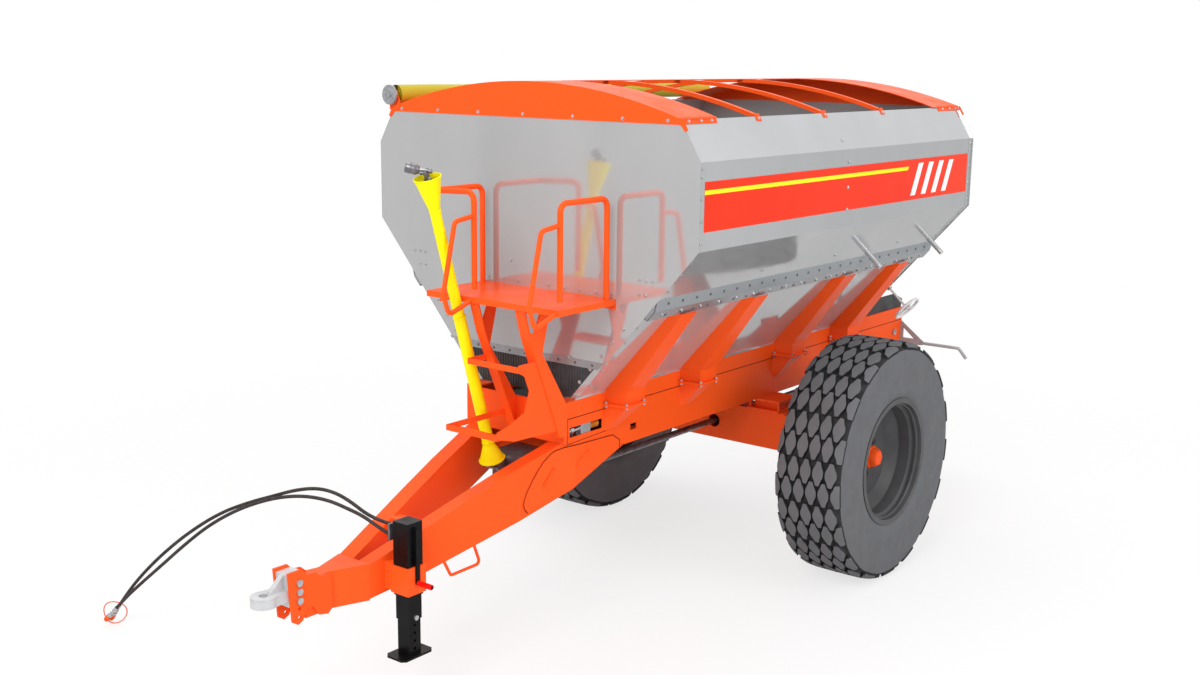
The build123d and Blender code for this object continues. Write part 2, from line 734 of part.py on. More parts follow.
TENSION_ROD_R = 11
with BuildPart() as belt_tensioners:
    for side in (-1, 1):
        rod_x = side * (BLOCK_INNER + BLOCK_OUTER) / 2
        add_box(
            (side * BLOCK_INNER, side * BLOCK_OUTER),
            (back(ROLLER_FRONT_BACK - 46), back(ROLLER_FRONT_BACK + 46)),
            (ROLLER_Z - 42, ROLLER_Z + 42),
        )
        with BuildSketch(lengthwise(min(side * BLOCK_INNER, side * BLOCK_OUTER) - 1)):
            with Locations((back(ROLLER_FRONT_BACK), ROLLER_Z)):
                Circle(ROLLER_SHAFT_R + RUN_CLEAR)
        extrude(amount=BLOCK_OUTER - BLOCK_INNER + 2, mode=Mode.SUBTRACT)
        with BuildSketch(facing_front(back(ROLLER_FRONT_BACK - 46))):
            with Locations((rod_x, ROLLER_Z)):
                Circle(TENSION_ROD_R)
        extrude(amount=ROLLER_FRONT_BACK - 46 + CHASSIS_AHEAD - 8)
        with BuildSketch(facing_front(back(10))):
            with Locations((rod_x, ROLLER_Z)):
                RegularPolygon(radius=17, side_count=6)
        extrude(amount=26)
finish(belt_tensioners, "belt_tensioners")

# ---------------------------------------------------------------- axle
AXLE_SHOULDER = 470
AXLE_END_Z = (AXLE_Z - 62, AXLE_Z + 62)
SHAFT_HOLE_R = 48
with BuildPart() as axle_beam:
    with BuildSketch(facing_front(AXLE_Y + AXLE_DEPTH / 2)):
        with BuildLine():
            Polyline(
                (-AXLE_END_X, AXLE_END_Z[0]),
                (AXLE_END_X, AXLE_END_Z[0]),
                (AXLE_END_X, AXLE_END_Z[1]),
                (AXLE_SHOULDER + 100, AXLE_TOP_Z),
                (-AXLE_SHOULDER - 100, AXLE_TOP_Z),
                (-AXLE_END_X, AXLE_END_Z[1]),
                close=True,
            )
        make_face()
    extrude(amount=AXLE_DEPTH)
    with BuildSketch(facing_front(AXLE_Y + AXLE_DEPTH / 2 - AXLE_WALL)):
        with BuildLine():
            Polyline(
                (-AXLE_END_X + 20, AXLE_END_Z[0] + AXLE_WALL),
                (AXLE_END_X - 20, AXLE_END_Z[0] + AXLE_WALL),
                (AXLE_END_X - 20, AXLE_END_Z[1] - AXLE_WALL),
                (AXLE_SHOULDER + 96, AXLE_TOP_Z - AXLE_WALL),
                (-AXLE_SHOULDER - 96, AXLE_TOP_Z - AXLE_WALL),
                (-AXLE_END_X + 20, AXLE_END_Z[1] - AXLE_WALL),
                close=True,
            )
        make_face()
    extrude(amount=AXLE_DEPTH - 2 * AXLE_WALL, mode=Mode.SUBTRACT)
    for side in (-1, 1):
        with BuildSketch(lengthwise(side * AXLE_END_X)):
            with Locations((AXLE_Y, AXLE_Z)):
                Circle(STUB_R)
        extrude(amount=side * 270)
    with BuildSketch(facing_front(AXLE_Y + AXLE_DEPTH)):
        with Locations((0, DRIVE_Z)):
            Circle(SHAFT_HOLE_R)
    extrude(amount=2 * AXLE_DEPTH, mode=Mode.SUBTRACT)
finish(axle_beam, "axle_beam")

CLAMP_X = (300, 560)
LEAF_T = 14
LEAF_GAP = 0
CLAMP_HALF_Y = 128
CLAMP_STUD_R = 9
with BuildPart() as axle_clamps:
    for side in (-1, 1):
        x = (side * CLAMP_X[0], side * CLAMP_X[1])
        y = (AXLE_Y - CLAMP_HALF_Y, AXLE_Y + CLAMP_HALF_Y)
        add_box(x, y, (AXLE_TOP_Z, AXLE_TOP_Z + 15))
        add_box(x, y, (RAIL_BOTTOM_Z - 15, RAIL_BOTTOM_Z))
        leaf_x = (side * (CLAMP_X[0] + 24), side * (CLAMP_X[1] - 24))
        leaf_bottom = AXLE_TOP_Z + 15
        leaf_height = RAIL_BOTTOM_Z - 15 - leaf_bottom
        add_box(leaf_x, (AXLE_Y - 70, AXLE_Y + 70), (leaf_bottom, leaf_bottom + leaf_height))
        for stud_x in (CLAMP_X[0] + 12, CLAMP_X[1] - 12):
            for stud_y in (-CLAMP_HALF_Y + 20, CLAMP_HALF_Y - 20):
                with BuildSketch(Plane.XY.offset(AXLE_TOP_Z + 15)):
                    with Locations((side * stud_x, AXLE_Y + stud_y)):
                        Circle(CLAMP_STUD_R)
                extrude(amount=leaf_height)
finish(axle_clamps, "axle_clamps")

# ---------------------------------------------------------------- wheels
DISC_PLATE_X = -12
DISC_PLATE_T = 14
HUB_FLANGE_T = 16
HUB_FLANGE_R = 150
HUB_BACK_X = -175
HUB_FRONT_X = 58
CAP_R = 66
CAP_OUT = 108
NUT_R = 17
NUT_H = 20


def wheel_plane(side):
    """Plane through the wheel's centre: local x points outwards along the axle, local y is up."""
    return Plane(origin=(side * TRACK_HALF, AXLE_Y, AXLE_Z), x_dir=(side, 0, 0), z_dir=(0, -side, 0))


def spun(side, outlines, holes=()):
    """Solid of revolution about the axle, from outlines given as (along the axle, radius)."""
    with BuildPart() as solid:
        with BuildSketch(wheel_plane(side)):
            for outline in outlines:
                with BuildLine():
                    Polyline(*outline, close=True)
                make_face()
            for outline in holes:
                with BuildLine():
                    Polyline(*outline, close=True)
                make_face(mode=Mode.SUBTRACT)
        revolve(axis=Axis((0, AXLE_Y, AXLE_Z), (1, 0, 0)), revolution_arc=360)
    return solid


half_w = TYRE_W / 2
bead_x = RIM_HALF - RIM_FLANGE_T
tyre_outline = [
    (-bead_x, RIM_R + SLIDE_CLEAR),
    (-bead_x, RIM_FLANGE_R),
    (-half_w, 560),
    (-half_w, 735),
    (-half_w + 28, TYRE_R - 20),
    (-half_w * 0.45, TYRE_R),
    (half_w * 0.45, TYRE_R),
    (half_w - 28, TYRE_R - 20),
    (half_w, 735),
    (half_w, 560),
    (bead_x, RIM_FLANGE_R),
    (bead_x, RIM_R + SLIDE_CLEAR),
]
tyre_air = [
    (-bead_x + TYRE_WALL, RIM_R - 1),
    (-bead_x + TYRE_WALL, RIM_FLANGE_R + 6),
    (-half_w + TYRE_WALL, 565),
    (-half_w + TYRE_WALL, 725),
    (-half_w + 60, TYRE_R - 58),
    (half_w - 60, TYRE_R - 58),
    (half_w - TYRE_WALL, 725),
    (half_w - TYRE_WALL, 565),
    (bead_x - TYRE_WALL, RIM_FLANGE_R + 6),
    (bead_x - TYRE_WALL, RIM_R - 1),
]
rim_outline = [
    (-RIM_HALF, RIM_R - RIM_SHELL),
    (-RIM_HALF, RIM_FLANGE_R),
    (-bead_x, RIM_FLANGE_R),
    (-bead_x, RIM_R),
    (bead_x, RIM_R),
    (bead_x, RIM_FLANGE_R),
    (RIM_HALF, RIM_FLANGE_R),
    (RIM_HALF, RIM_R - RIM_SHELL),
    (RIM_HALF - 60, RIM_R - RIM_SHELL),
    (RIM_HALF - 78, RIM_R - RIM_SHELL - 26),
    (DISC_PLATE_X + DISC_PLATE_T + 60, RIM_R - RIM_SHELL - 26),
    (DISC_PLATE_X + DISC_PLATE_T, RIM_R - 110),
    (DISC_PLATE_X + DISC_PLATE_T, HUB_R + SLIDE_CLEAR),
    (DISC_PLATE_X, HUB_R + SLIDE_CLEAR),
    (DISC_PLATE_X, RIM_R - 106),
    (DISC_PLATE_X + 40, RIM_R - RIM_SHELL),
]
hub_outline = [
    (HUB_BACK_X, STUB_R + RUN_CLEAR),
    (HUB_BACK_X, 96),
    (DISC_PLATE_X - HUB_FLANGE_T, 96),
    (DISC_PLATE_X - HUB_FLANGE_T, HUB_FLANGE_R),
    (DISC_PLATE_X, HUB_FLANGE_R),
    (DISC_PLATE_X, HUB_R),
    (HUB_FRONT_X, HUB_R),
    (HUB_FRONT_X, CAP_R),
    (CAP_OUT - 14, CAP_R),
    (CAP_OUT, CAP_R - 14),
    (CAP_OUT, 0),
    (HUB_FRONT_X - 8, 0),
    (HUB_FRONT_X - 8, STUB_R + RUN_CLEAR),
]
for side, name in ((1, "left"), (-1, "right")):
    finish(spun(side, [tyre_outline], [tyre_air]), f"tyre_{name}")
    finish(spun(side, [rim_outline]), f"rim_{name}")
    with BuildPart() as hub:
        add(spun(side, [hub_outline]).part)
        face_x = side * (TRACK_HALF + DISC_PLATE_X + DISC_PLATE_T)
        with BuildSketch(Plane(origin=(face_x, AXLE_Y, AXLE_Z), x_dir=(0, 1, 0), z_dir=(side, 0, 0))):
            with PolarLocations(NUT_PCD / 2, WHEEL_NUTS):
                RegularPolygon(radius=NUT_R, side_count=6)
        extrude(amount=NUT_H)
    finish(hub, f"hub_{name}")

# ---------------------------------------------------------------- drawbar
BEAM_SLOPE = (CHASSIS_HALF - BEAM_NOSE_HALF) / BEAM_NOSE_AHEAD
BEAM_STRETCH = sqrt(1 + BEAM_SLOPE**2)


def beam_plane(side):
    """Upright plane of a beam's outer face: local x runs to the rear along the beam, local y is up."""
    direction = Vector(side * BEAM_SLOPE, 1, 0).normalized()
    normal = direction.cross(Vector(0, 0, 1))
    return Plane(origin=(side * CHASSIS_HALF, back(0), 0), x_dir=direction, z_dir=normal)


def beam_outline(shrink):
    """Side outline of a drawbar beam, shrunk by a wall: distances behind the hopper wall, and heights."""
    return [
        (-BEAM_NOSE_AHEAD, NOSE_Z[0] + 8 + shrink),
        (-1060, 668 + shrink),
        (-405, 828 + shrink),
        (0, 950 + shrink),
        (0, rail_edge_z(0) - 1 - shrink),
        (-CHASSIS_AHEAD, CUT_TOP_Z - 1 - shrink),
        (-513, 1116 - shrink),
        (-840, 1002 - shrink),
        (-BEAM_NOSE_AHEAD, NOSE_Z[1] - 8 - shrink),
    ]


LOOP_R = 9


def drawbar_beam(side):
    """Box beam of the V drawbar, with a heel plate lapped under the chassis rail."""
    plane = beam_plane(side)
    inward = -side
    with BuildPart() as beam:
        with BuildSketch(plane):
            with BuildLine():
                Polyline(*[(b * BEAM_STRETCH, z) for b, z in beam_outline(0)], close=True)
            make_face()
        extrude(amount=inward * BEAM_DEPTH)
        with BuildSketch(plane.offset(inward * BEAM_WALL)):
            with BuildLine():
                Polyline(*[(b * BEAM_STRETCH, z) for b, z in beam_outline(BEAM_WALL)], close=True)
            make_face()
        extrude(amount=inward * (BEAM_DEPTH - 2 * BEAM_WALL), mode=Mode.SUBTRACT)
        with BuildSketch(lengthwise(side * CHASSIS_HALF)):
            with BuildLine():
                Polyline(
                    (back(-2), rail_edge_z(-2)),
                    (back(-2), 952),
                    (back(CUT_BACK), RAIL_BOTTOM_Z),
                    close=True,
                )
            make_face()
        extrude(amount=-side * HEEL_T)
    return beam


for side, name in ((1, "drawbar_left"), (-1, "drawbar_right")):
    beam = drawbar_beam(side)
    if side > 0:
        with BuildPart() as beam_with_loop:
            add(beam.part)
            loop_x = CHASSIS_HALF - BEAM_SLOPE * 720 - 55
            loop_route = [
                (loop_x, back(-925), 720),
                (loop_x, back(-860), 600),
                (loop_x, back(-620), 604),
                (loop_x, back(-690), 780),
            ]
            add(round_tube(loop_route, 22, LOOP_R))
        finish(beam_with_loop, name)
    else:
        finish(beam, name)

with BuildPart() as drawbar_nose:
    cross_ahead = 1010
    inner_front = CHASSIS_HALF - BEAM_SLOPE * (cross_ahead + 40) - BEAM_DEPTH * BEAM_STRETCH
    inner_rear = CHASSIS_HALF - BEAM_SLOPE * (cross_ahead - 40) - BEAM_DEPTH * BEAM_STRETCH
    with BuildSketch(Plane.XY.offset(812)):
        with BuildLine():
            Polyline(
                (-inner_front, back(-cross_ahead - 40)),
                (inner_front, back(-cross_ahead - 40)),
                (inner_rear, back(-cross_ahead + 40)),
                (-inner_rear, back(-cross_ahead + 40)),
                close=True,
            )
        make_face()
    extrude(amount=118)
    with BuildSketch(Plane.XY.offset(NOSE_Z[0])):
        with BuildLine():
            Polyline(
                (-NOSE_HALF, back(-NOSE_AHEAD)),
                (NOSE_HALF, back(-NOSE_AHEAD)),
                (NOSE_HALF, back(-NOSE_STRAIGHT_AHEAD)),
                (BEAM_NOSE_HALF, back(-BEAM_NOSE_AHEAD)),
                (-BEAM_NOSE_HALF, back(-BEAM_NOSE_AHEAD)),
                (-NOSE_HALF, back(-NOSE_STRAIGHT_AHEAD)),
                close=True,
            )
        make_face()
    extrude(amount=NOSE_Z[1] - NOSE_Z[0])
    cut_box(
        (-NOSE_HALF + 12, NOSE_HALF - 12),
        (back(-NOSE_AHEAD + 12), back(-BEAM_NOSE_AHEAD + 1)),
        (NOSE_Z[0] + 10, NOSE_Z[1] - 10),
    )
finish(drawbar_nose, "drawbar_nose")

# Hitch plates: a front column with the bolt holes, a notch, and a rear lobe on the nose.
plate_profile = [
    (-NOSE_AHEAD - 118, 878),
    (-NOSE_AHEAD - 28, 878),
    (-NOSE_AHEAD + 4, 842),
    (-NOSE_AHEAD + 60, 838),
    (-NOSE_AHEAD + 96, 806),
    (-NOSE_AHEAD + 166, 800),
    (-NOSE_AHEAD + 170, 610),
    (-NOSE_AHEAD + 140, 584),
    (-NOSE_AHEAD + 80, 596),
    (-NOSE_AHEAD + 40, 655),
    (-NOSE_AHEAD - 6, 655),
    (-NOSE_AHEAD - 28, 600),
    (-NOSE_AHEAD - 62, 584),
    (-NOSE_AHEAD - 96, 606),
]
bolt_ahead = NOSE_AHEAD + 50
hole_heights = [HITCH_TOP_BOLT_Z - i * HITCH_PITCH for i in range(5)]
hole_heights[3:] = [HITCH_TOP_BOLT_Z - 141, HITCH_TOP_BOLT_Z - 190]
PLATE_X = NOSE_HALF - HITCH_PLATE_T
with BuildPart() as hitch_plates:
    for side in (-1, 1):
        with BuildSketch(lengthwise(side * NOSE_HALF)):
            with BuildLine():
                Polyline(*[(back(b), z) for b, z in plate_profile], close=True)
            make_face()
            with Locations(*[(back(-bolt_ahead), z) for z in hole_heights]):
                Circle(HITCH_BOLT_R + 0.5, mode=Mode.SUBTRACT)
        extrude(amount=side * HITCH_PLATE_T)
    add_box((-NOSE_HALF, NOSE_HALF), (back(-NOSE_AHEAD - 10), back(-NOSE_AHEAD)), (660, 838))
finish(hitch_plates, "hitch_plates")

EYE_BLOCK = (690, 862)
with BuildPart() as tow_eye:
    with BuildSketch(Plane.XY.offset(EYE_Z - EYE_T / 2)):
        with Locations((0, back(-EYE_AHEAD))):
            Circle(EYE_OUTER_R)
        with BuildLine():
            Polyline(
                (-EYE_OUTER_R + 8, back(-EYE_AHEAD + 26)),
                (-NOSE_HALF + SLIDE_CLEAR, back(-NOSE_AHEAD - 108)),
                (NOSE_HALF - SLIDE_CLEAR, back(-NOSE_AHEAD - 108)),
                (EYE_OUTER_R - 8, back(-EYE_AHEAD + 26)),
                close=True,
            )
        make_face()
    extrude(amount=EYE_T)
    add_box(
        (-NOSE_HALF + SLIDE_CLEAR, NOSE_HALF - SLIDE_CLEAR),
        (back(-NOSE_AHEAD - 108), back(-NOSE_AHEAD - 10)),
        EYE_BLOCK,
    )
    with BuildSketch(lengthwise(-16)):
        with BuildLine():
            Polyline(
                (back(-NOSE_AHEAD - 106), EYE_BLOCK[1]),
                (back(-NOSE_AHEAD - 106), EYE_Z),
                (back(-EYE_AHEAD + 34), EYE_Z),
                (back(-EYE_AHEAD + 34), EYE_Z + EYE_T / 2 + 4),
                close=True,
            )
        make_face()
    extrude(amount=32)
    with BuildSketch(Plane.XY.offset(EYE_Z - EYE_T)):
        with Locations((0, back(-EYE_AHEAD))):
            Circle(EYE_BORE_R)
    extrude(amount=2 * EYE_T, mode=Mode.SUBTRACT)
    with BuildSketch(lengthwise(-NOSE_HALF)):
        with Locations(*[(back(-bolt_ahead), z) for z in hole_heights[:3]]):
            Circle(HITCH_BOLT_R + 0.5)
    extrude(amount=2 * NOSE_HALF, mode=Mode.SUBTRACT)
finish(tow_eye, "tow_eye")

# ---------------------------------------------------------------- jack
JACK_Y = back(-JACK_AHEAD)
JACK_INNER = JACK_OUTER - 2 * JACK_WALL - 2 * SLIDE_CLEAR
JACK_LEG = JACK_INNER - 2 * JACK_INNER_WALL - 2 * SLIDE_CLEAR
JACK_INNER_Z = (JACK_PIN_Z - 15, CRANK_Z - 40)
JACK_LEG_TOP = 760
JACK_LEG_HOLES = 5


def square_tube(width, wall, z):
    """Upright square tube on the jack's centre line."""
    with BuildPart() as tube:
        with BuildSketch(Plane.XY.offset(z[0])):
            with Locations((JACK_X, JACK_Y)):
                Rectangle(width, width)
                Rectangle(width - 2 * wall, width - 2 * wall, mode=Mode.SUBTRACT)
        extrude(amount=z[1] - z[0])
    return tube.part


with BuildPart() as jack_sleeve:
    with BuildSketch(Plane.XY.offset(JACK_SLEEVE_Z[0])):
        with Locations((JACK_X, JACK_Y)):
            Rectangle(JACK_OUTER + 2 * JACK_SLEEVE_T, JACK_OUTER + 2 * JACK_SLEEVE_T)
        beam_front = CHASSIS_HALF - BEAM_SLOPE * (JACK_AHEAD + 50)
        beam_rear = CHASSIS_HALF - BEAM_SLOPE * (JACK_AHEAD - 50)
        with BuildLine():
            Polyline(
                (beam_front, JACK_Y - 50),
                (JACK_X, JACK_Y - 50),
                (JACK_X, JACK_Y + 50),
                (beam_rear, JACK_Y + 50),
                close=True,
            )
        make_face()
        with Locations((JACK_X, JACK_Y)):
            Rectangle(JACK_OUTER, JACK_OUTER, mode=Mode.SUBTRACT)
    extrude(amount=JACK_SLEEVE_Z[1] - JACK_SLEEVE_Z[0])
finish(jack_sleeve, "jack_sleeve")

CRANK_SHAFT_R = 9
CRANK_FACE_X = JACK_X + JACK_OUTER / 2
HOSE_BLOCK_Z = (925, 1030)
with BuildPart() as jack_outer_tube:
    add(square_tube(JACK_OUTER, JACK_WALL, (JACK_BOTTOM_Z, JACK_TOP_Z)))
    half = JACK_OUTER / 2
    add_box((JACK_X - half, JACK_X + half), (JACK_Y - half, JACK_Y + half), (JACK_TOP_Z - 8, JACK_TOP_Z))
    with BuildSketch(lengthwise(CRANK_FACE_X)):
        with Locations((JACK_Y, CRANK_Z)):
            Circle(20)
    extrude(amount=12)
    with BuildSketch(lengthwise(CRANK_FACE_X - JACK_WALL - 1)):
        with Locations((JACK_Y, CRANK_Z)):
            Circle(CRANK_SHAFT_R + RUN_CLEAR)
    extrude(amount=JACK_WALL + 14, mode=Mode.SUBTRACT)
finish(jack_outer_tube, "jack_outer_tube")

PIN_R = 9
with BuildPart() as jack_inner_tube:
    add(square_tube(JACK_INNER, JACK_INNER_WALL, JACK_INNER_Z))
    with BuildSketch(lengthwise(JACK_X - JACK_OUTER)):
        with Locations((JACK_Y, JACK_PIN_Z)):
            Circle(PIN_R)
    extrude(amount=2 * JACK_OUTER, mode=Mode.SUBTRACT)
finish(jack_inner_tube, "jack_inner_tube")

FOOT_T = 12
with BuildPart() as jack_drop_leg:
    add(square_tube(JACK_LEG, JACK_LEG_WALL, (JACK_FOOT_Z + FOOT_T, JACK_LEG_TOP)))
    with BuildSketch(lengthwise(JACK_X - JACK_OUTER)):
        for i in range(JACK_LEG_HOLES):
            with Locations((JACK_Y, JACK_PIN_Z - i * JACK_HOLE_PITCH)):
                Circle(PIN_R)
    extrude(amount=2 * JACK_OUTER, mode=Mode.SUBTRACT)
    with BuildSketch(Plane.XY.offset(JACK_FOOT_Z)):
        with Locations((JACK_X, JACK_Y)):
            foot = Rectangle(JACK_FOOT[1], JACK_FOOT[0])
        chamfer(foot.vertices(), length=JACK_FOOT_CORNER)
    extrude(amount=FOOT_T)
finish(jack_drop_leg, "jack_drop_leg")

with BuildPart() as jack_pin:
    with BuildSketch(lengthwise(JACK_X - JACK_INNER / 2 - 14)):
        with Locations((JACK_Y, JACK_PIN_Z)):
            Circle(PIN_R)
    extrude(amount=JACK_INNER + 28)
    with BuildSketch(lengthwise(JACK_X + JACK_INNER / 2 + 1)):
        with Locations((JACK_Y, JACK_PIN_Z)):
            Circle(PIN_R + 5)
    extrude(amount=12)
finish(jack_pin, "jack_pin")

ARM_T = 10
ARM_X = CRANK_FACE_X + 13
GRIP_PIN_R = 7
with BuildPart() as jack_crank:
    with BuildSketch(lengthwise(CRANK_FACE_X - JACK_WALL - 20)):
        with Locations((JACK_Y, CRANK_Z)):
            Circle(CRANK_SHAFT_R)
    extrude(amount=ARM_X - CRANK_FACE_X + JACK_WALL + 20)
    with BuildSketch(lengthwise(ARM_X)):
        with Locations((JACK_Y, CRANK_Z - CRANK_ARM / 2)):
            SlotCenterToCenter(CRANK_ARM, 26, rotation=90)
    extrude(amount=ARM_T)
    with BuildSketch(lengthwise(ARM_X + ARM_T)):
        with Locations((JACK_Y, CRANK_Z - CRANK_ARM)):
            Circle(GRIP_PIN_R)
    extrude(amount=GRIP_LENGTH + 6)
finish(jack_crank, "jack_crank")

with BuildPart() as jack_grip:
    with BuildSketch(lengthwise(ARM_X + ARM_T + SLIDE_CLEAR)):
        with Locations((JACK_Y, CRANK_Z - CRANK_ARM)):
            Circle(GRIP_R)
            Circle(GRIP_PIN_R + RUN_CLEAR, mode=Mode.SUBTRACT)
    extrude(amount=GRIP_LENGTH)
finish(jack_grip, "jack_grip")

# ---------------------------------------------------------------- power take-off
PTO_PIVOT = Vector(PTO_PIVOT_X, back(-PTO_PIVOT_AHEAD), PTO_PIVOT_Z)
PTO_DIR = Vector(PTO_LEAN_X, PTO_LEAN_Y, PTO_LEAN_Z).normalized()


def pto_plane(distance):
    """Plane across the stored shaft, this far up it from its lower pivot."""
    return Plane(origin=PTO_PIVOT + PTO_DIR * distance, x_dir=Vector(1, 0, 0), z_dir=PTO_DIR)


PIVOT_PIN_R = 16
EAR_GAP = 56
EAR_THICK = 18
GEARBOX_FRONT = PTO_PIVOT_AHEAD - 62
with BuildPart() as gearbox:
    add_box((-150, 110), (back(-GEARBOX_FRONT + 30), back(GEARBOX_REAR)), (820, 1118))
    fillet(edges().filter_by(Axis.Z), radius=24)
    with BuildSketch(facing_front(back(-GEARBOX_FRONT + 30))):
        with Locations((PTO_PIVOT_X, PTO_PIVOT_Z)):
            Circle(58)
    extrude(amount=26)
    for end in (-1, 1):
        with BuildSketch(lengthwise(PTO_PIVOT_X + end * EAR_GAP / 2)):
            with BuildLine():
                Polyline(
                    (back(-GEARBOX_FRONT + 20), PTO_PIVOT_Z - 26),
                    (PTO_PIVOT.Y, PTO_PIVOT_Z - 26),
                    (PTO_PIVOT.Y - 26, PTO_PIVOT_Z),
                    (PTO_PIVOT.Y, PTO_PIVOT_Z + 26),
                    (back(-GEARBOX_FRONT + 20), PTO_PIVOT_Z + 26),
                    close=True,
                )
            make_face()
            with Locations((PTO_PIVOT.Y, PTO_PIVOT_Z)):
                Circle(PIVOT_PIN_R / 2 + RUN_CLEAR, mode=Mode.SUBTRACT)
        extrude(amount=end * EAR_THICK)
    with BuildSketch(facing_front(back(GEARBOX_REAR + 14))):
        with Locations((0, DRIVE_Z)):
            Circle(50)
            Circle(DRIVE_R + RUN_CLEAR, mode=Mode.SUBTRACT)
    extrude(amount=30)
    with BuildSketch(facing_front(back(GEARBOX_REAR + 1))):
        with Locations((0, DRIVE_Z)):
            Circle(DRIVE_R + RUN_CLEAR)
    extrude(amount=60, mode=Mode.SUBTRACT)
finish(gearbox, "gearbox")

with BuildPart() as pto_joint:
    with BuildSketch(lengthwise(PTO_PIVOT_X - EAR_GAP / 2 - EAR_THICK)):
        with Locations((PTO_PIVOT.Y, PTO_PIVOT_Z)):
            Circle(PIVOT_PIN_R / 2)
    extrude(amount=EAR_GAP + 2 * EAR_THICK)
    with BuildSketch(lengthwise(PTO_PIVOT_X - EAR_GAP / 2 + 3)):
        with Locations((PTO_PIVOT.Y, PTO_PIVOT_Z)):
            Circle(22)
    extrude(amount=EAR_GAP - 6)
    with BuildSketch(pto_plane(0)):
        Circle(20)
    extrude(amount=300)
finish(pto_joint, "pto_joint")

CONE_WALL = 4
LOWER_CONE = (44, 150)
LOWER_TUBE_END = 1000
UPPER_TUBE_START = 420
UPPER_TUBE_R = PTO_TUBE_R - CONE_WALL - SLIDE_CLEAR
UPPER_CONE = (PTO_LENGTH - 190, PTO_LENGTH)


def cone_shell(start, end, start_r, end_r):
    """Hollow cone between two distances along the stored shaft."""
    with BuildPart() as cone:
        for shrink, mode in ((0, Mode.ADD), (CONE_WALL, Mode.SUBTRACT)):
            with BuildSketch(pto_plane(start)):
                Circle(start_r - shrink)
            with BuildSketch(pto_plane(end)):
                Circle(end_r - shrink)
            loft(mode=mode)
    return cone.part


with BuildPart() as pto_guard_lower:
    add(cone_shell(LOWER_CONE[0], LOWER_CONE[1], PTO_CONE_R, PTO_TUBE_R))
    with BuildSketch(pto_plane(LOWER_CONE[1])):
        Circle(PTO_TUBE_R)
        Circle(PTO_TUBE_R - CONE_WALL, mode=Mode.SUBTRACT)
    extrude(amount=LOWER_TUBE_END - LOWER_CONE[1])
    with BuildSketch(pto_plane(210)):
        Circle(PTO_TUBE_R - CONE_WALL)
        Circle(20, mode=Mode.SUBTRACT)
    extrude(amount=20)
finish(pto_guard_lower, "pto_guard_lower")

SHAFT_R = 18
with BuildPart() as pto_guard_upper:
    with BuildSketch(pto_plane(UPPER_TUBE_START)):
        Circle(UPPER_TUBE_R)
        Circle(UPPER_TUBE_R - CONE_WALL, mode=Mode.SUBTRACT)
    extrude(amount=UPPER_CONE[0] - UPPER_TUBE_START)
    add(cone_shell(UPPER_CONE[0], UPPER_CONE[1], UPPER_TUBE_R, PTO_CONE_R))
    with BuildSketch(pto_plane(UPPER_CONE[0] - 40)):
        Circle(UPPER_TUBE_R - CONE_WALL)
        Circle(SHAFT_R + RUN_CLEAR, mode=Mode.SUBTRACT)
    extrude(amount=30)
finish(pto_guard_upper, "pto_guard_upper")

YOKE_R = 31
YOKE_BORE_R = 17.5
YOKE_LENGTH = 96
YOKE_AT = PTO_LENGTH + 30
yoke_centre = PTO_PIVOT + PTO_DIR * YOKE_AT
yoke_dir = Vector(-0.78, -0.58, 0.24).normalized()
with BuildPart() as pto_yoke:
    with BuildSketch(pto_plane(UPPER_TUBE_START + 60)):
        Circle(SHAFT_R)
    extrude(amount=YOKE_AT - UPPER_TUBE_START - 60)
    with BuildSketch(pto_plane(YOKE_AT - 30)):
        Circle(26)
    extrude(amount=48)
    with BuildSketch(Plane(origin=yoke_centre, z_dir=yoke_dir)):
        Circle(YOKE_R)
    extrude(amount=YOKE_LENGTH + 20)
    with BuildSketch(Plane(origin=yoke_centre + yoke_dir * (YOKE_LENGTH + 20), z_dir=yoke_dir)):
        Circle(YOKE_BORE_R)
    extrude(amount=-70, mode=Mode.SUBTRACT)
finish(pto_yoke, "pto_yoke")

with BuildPart() as drive_shaft:
    with BuildSketch(facing_front(back(DISC_BACK - 60))):
        with Locations((0, DRIVE_Z)):
            Circle(DRIVE_R)
    extrude(amount=DISC_BACK - 60 - 50)
    for flange_back in (190, DISC_BACK - 170):
        with BuildSketch(facing_front(back(flange_back + 25))):
            with Locations((0, DRIVE_Z)):
                Circle(DRIVE_R + 20)
        extrude(amount=50)
finish(drive_shaft, "drive_shaft")

# ---------------------------------------------------------------- platform, rails and ladder
PLATFORM_T = 5
with BuildPart() as platform:
    front = back(-PLATFORM_DEPTH)
    add_box(PLATFORM_X, (front, back(0)), (PLATFORM_Z - PLATFORM_T, PLATFORM_Z))
    add_box(PLATFORM_X, (front, front + PLATFORM_T), (PLATFORM_Z - PLATFORM_FOLD, PLATFORM_Z))
    add_box(PLATFORM_X, (back(0) - PLATFORM_T, back(0)), (PLATFORM_Z - 60, PLATFORM_Z))
    for x in (PLATFORM_X[0], PLATFORM_X[1] - PLATFORM_T):
        add_box((x, x + PLATFORM_T), (front, back(0)), (PLATFORM_Z - PLATFORM_FOLD, PLATFORM_Z))
    hook_x = PTO_PIVOT.X - PTO_TUBE_R - 22
    with BuildSketch(facing_front(front)):
        with Locations((hook_x, PLATFORM_Z - 16)):
            Circle(8)
    extrude(amount=118)
    add_box((hook_x - 16, hook_x + 16), (front - 8, front), (PLATFORM_Z - 32, PLATFORM_Z))
finish(platform, "platform")

POST_INSET = 38
RAIL_BEND = 52
GRAB_BEND = 36
GRAB_TUBE_R = 14
LEFT_POST_X = 22
RAIL_LEFT_END = -296
RIGHT_POST_X = PLATFORM_X[1] - 26


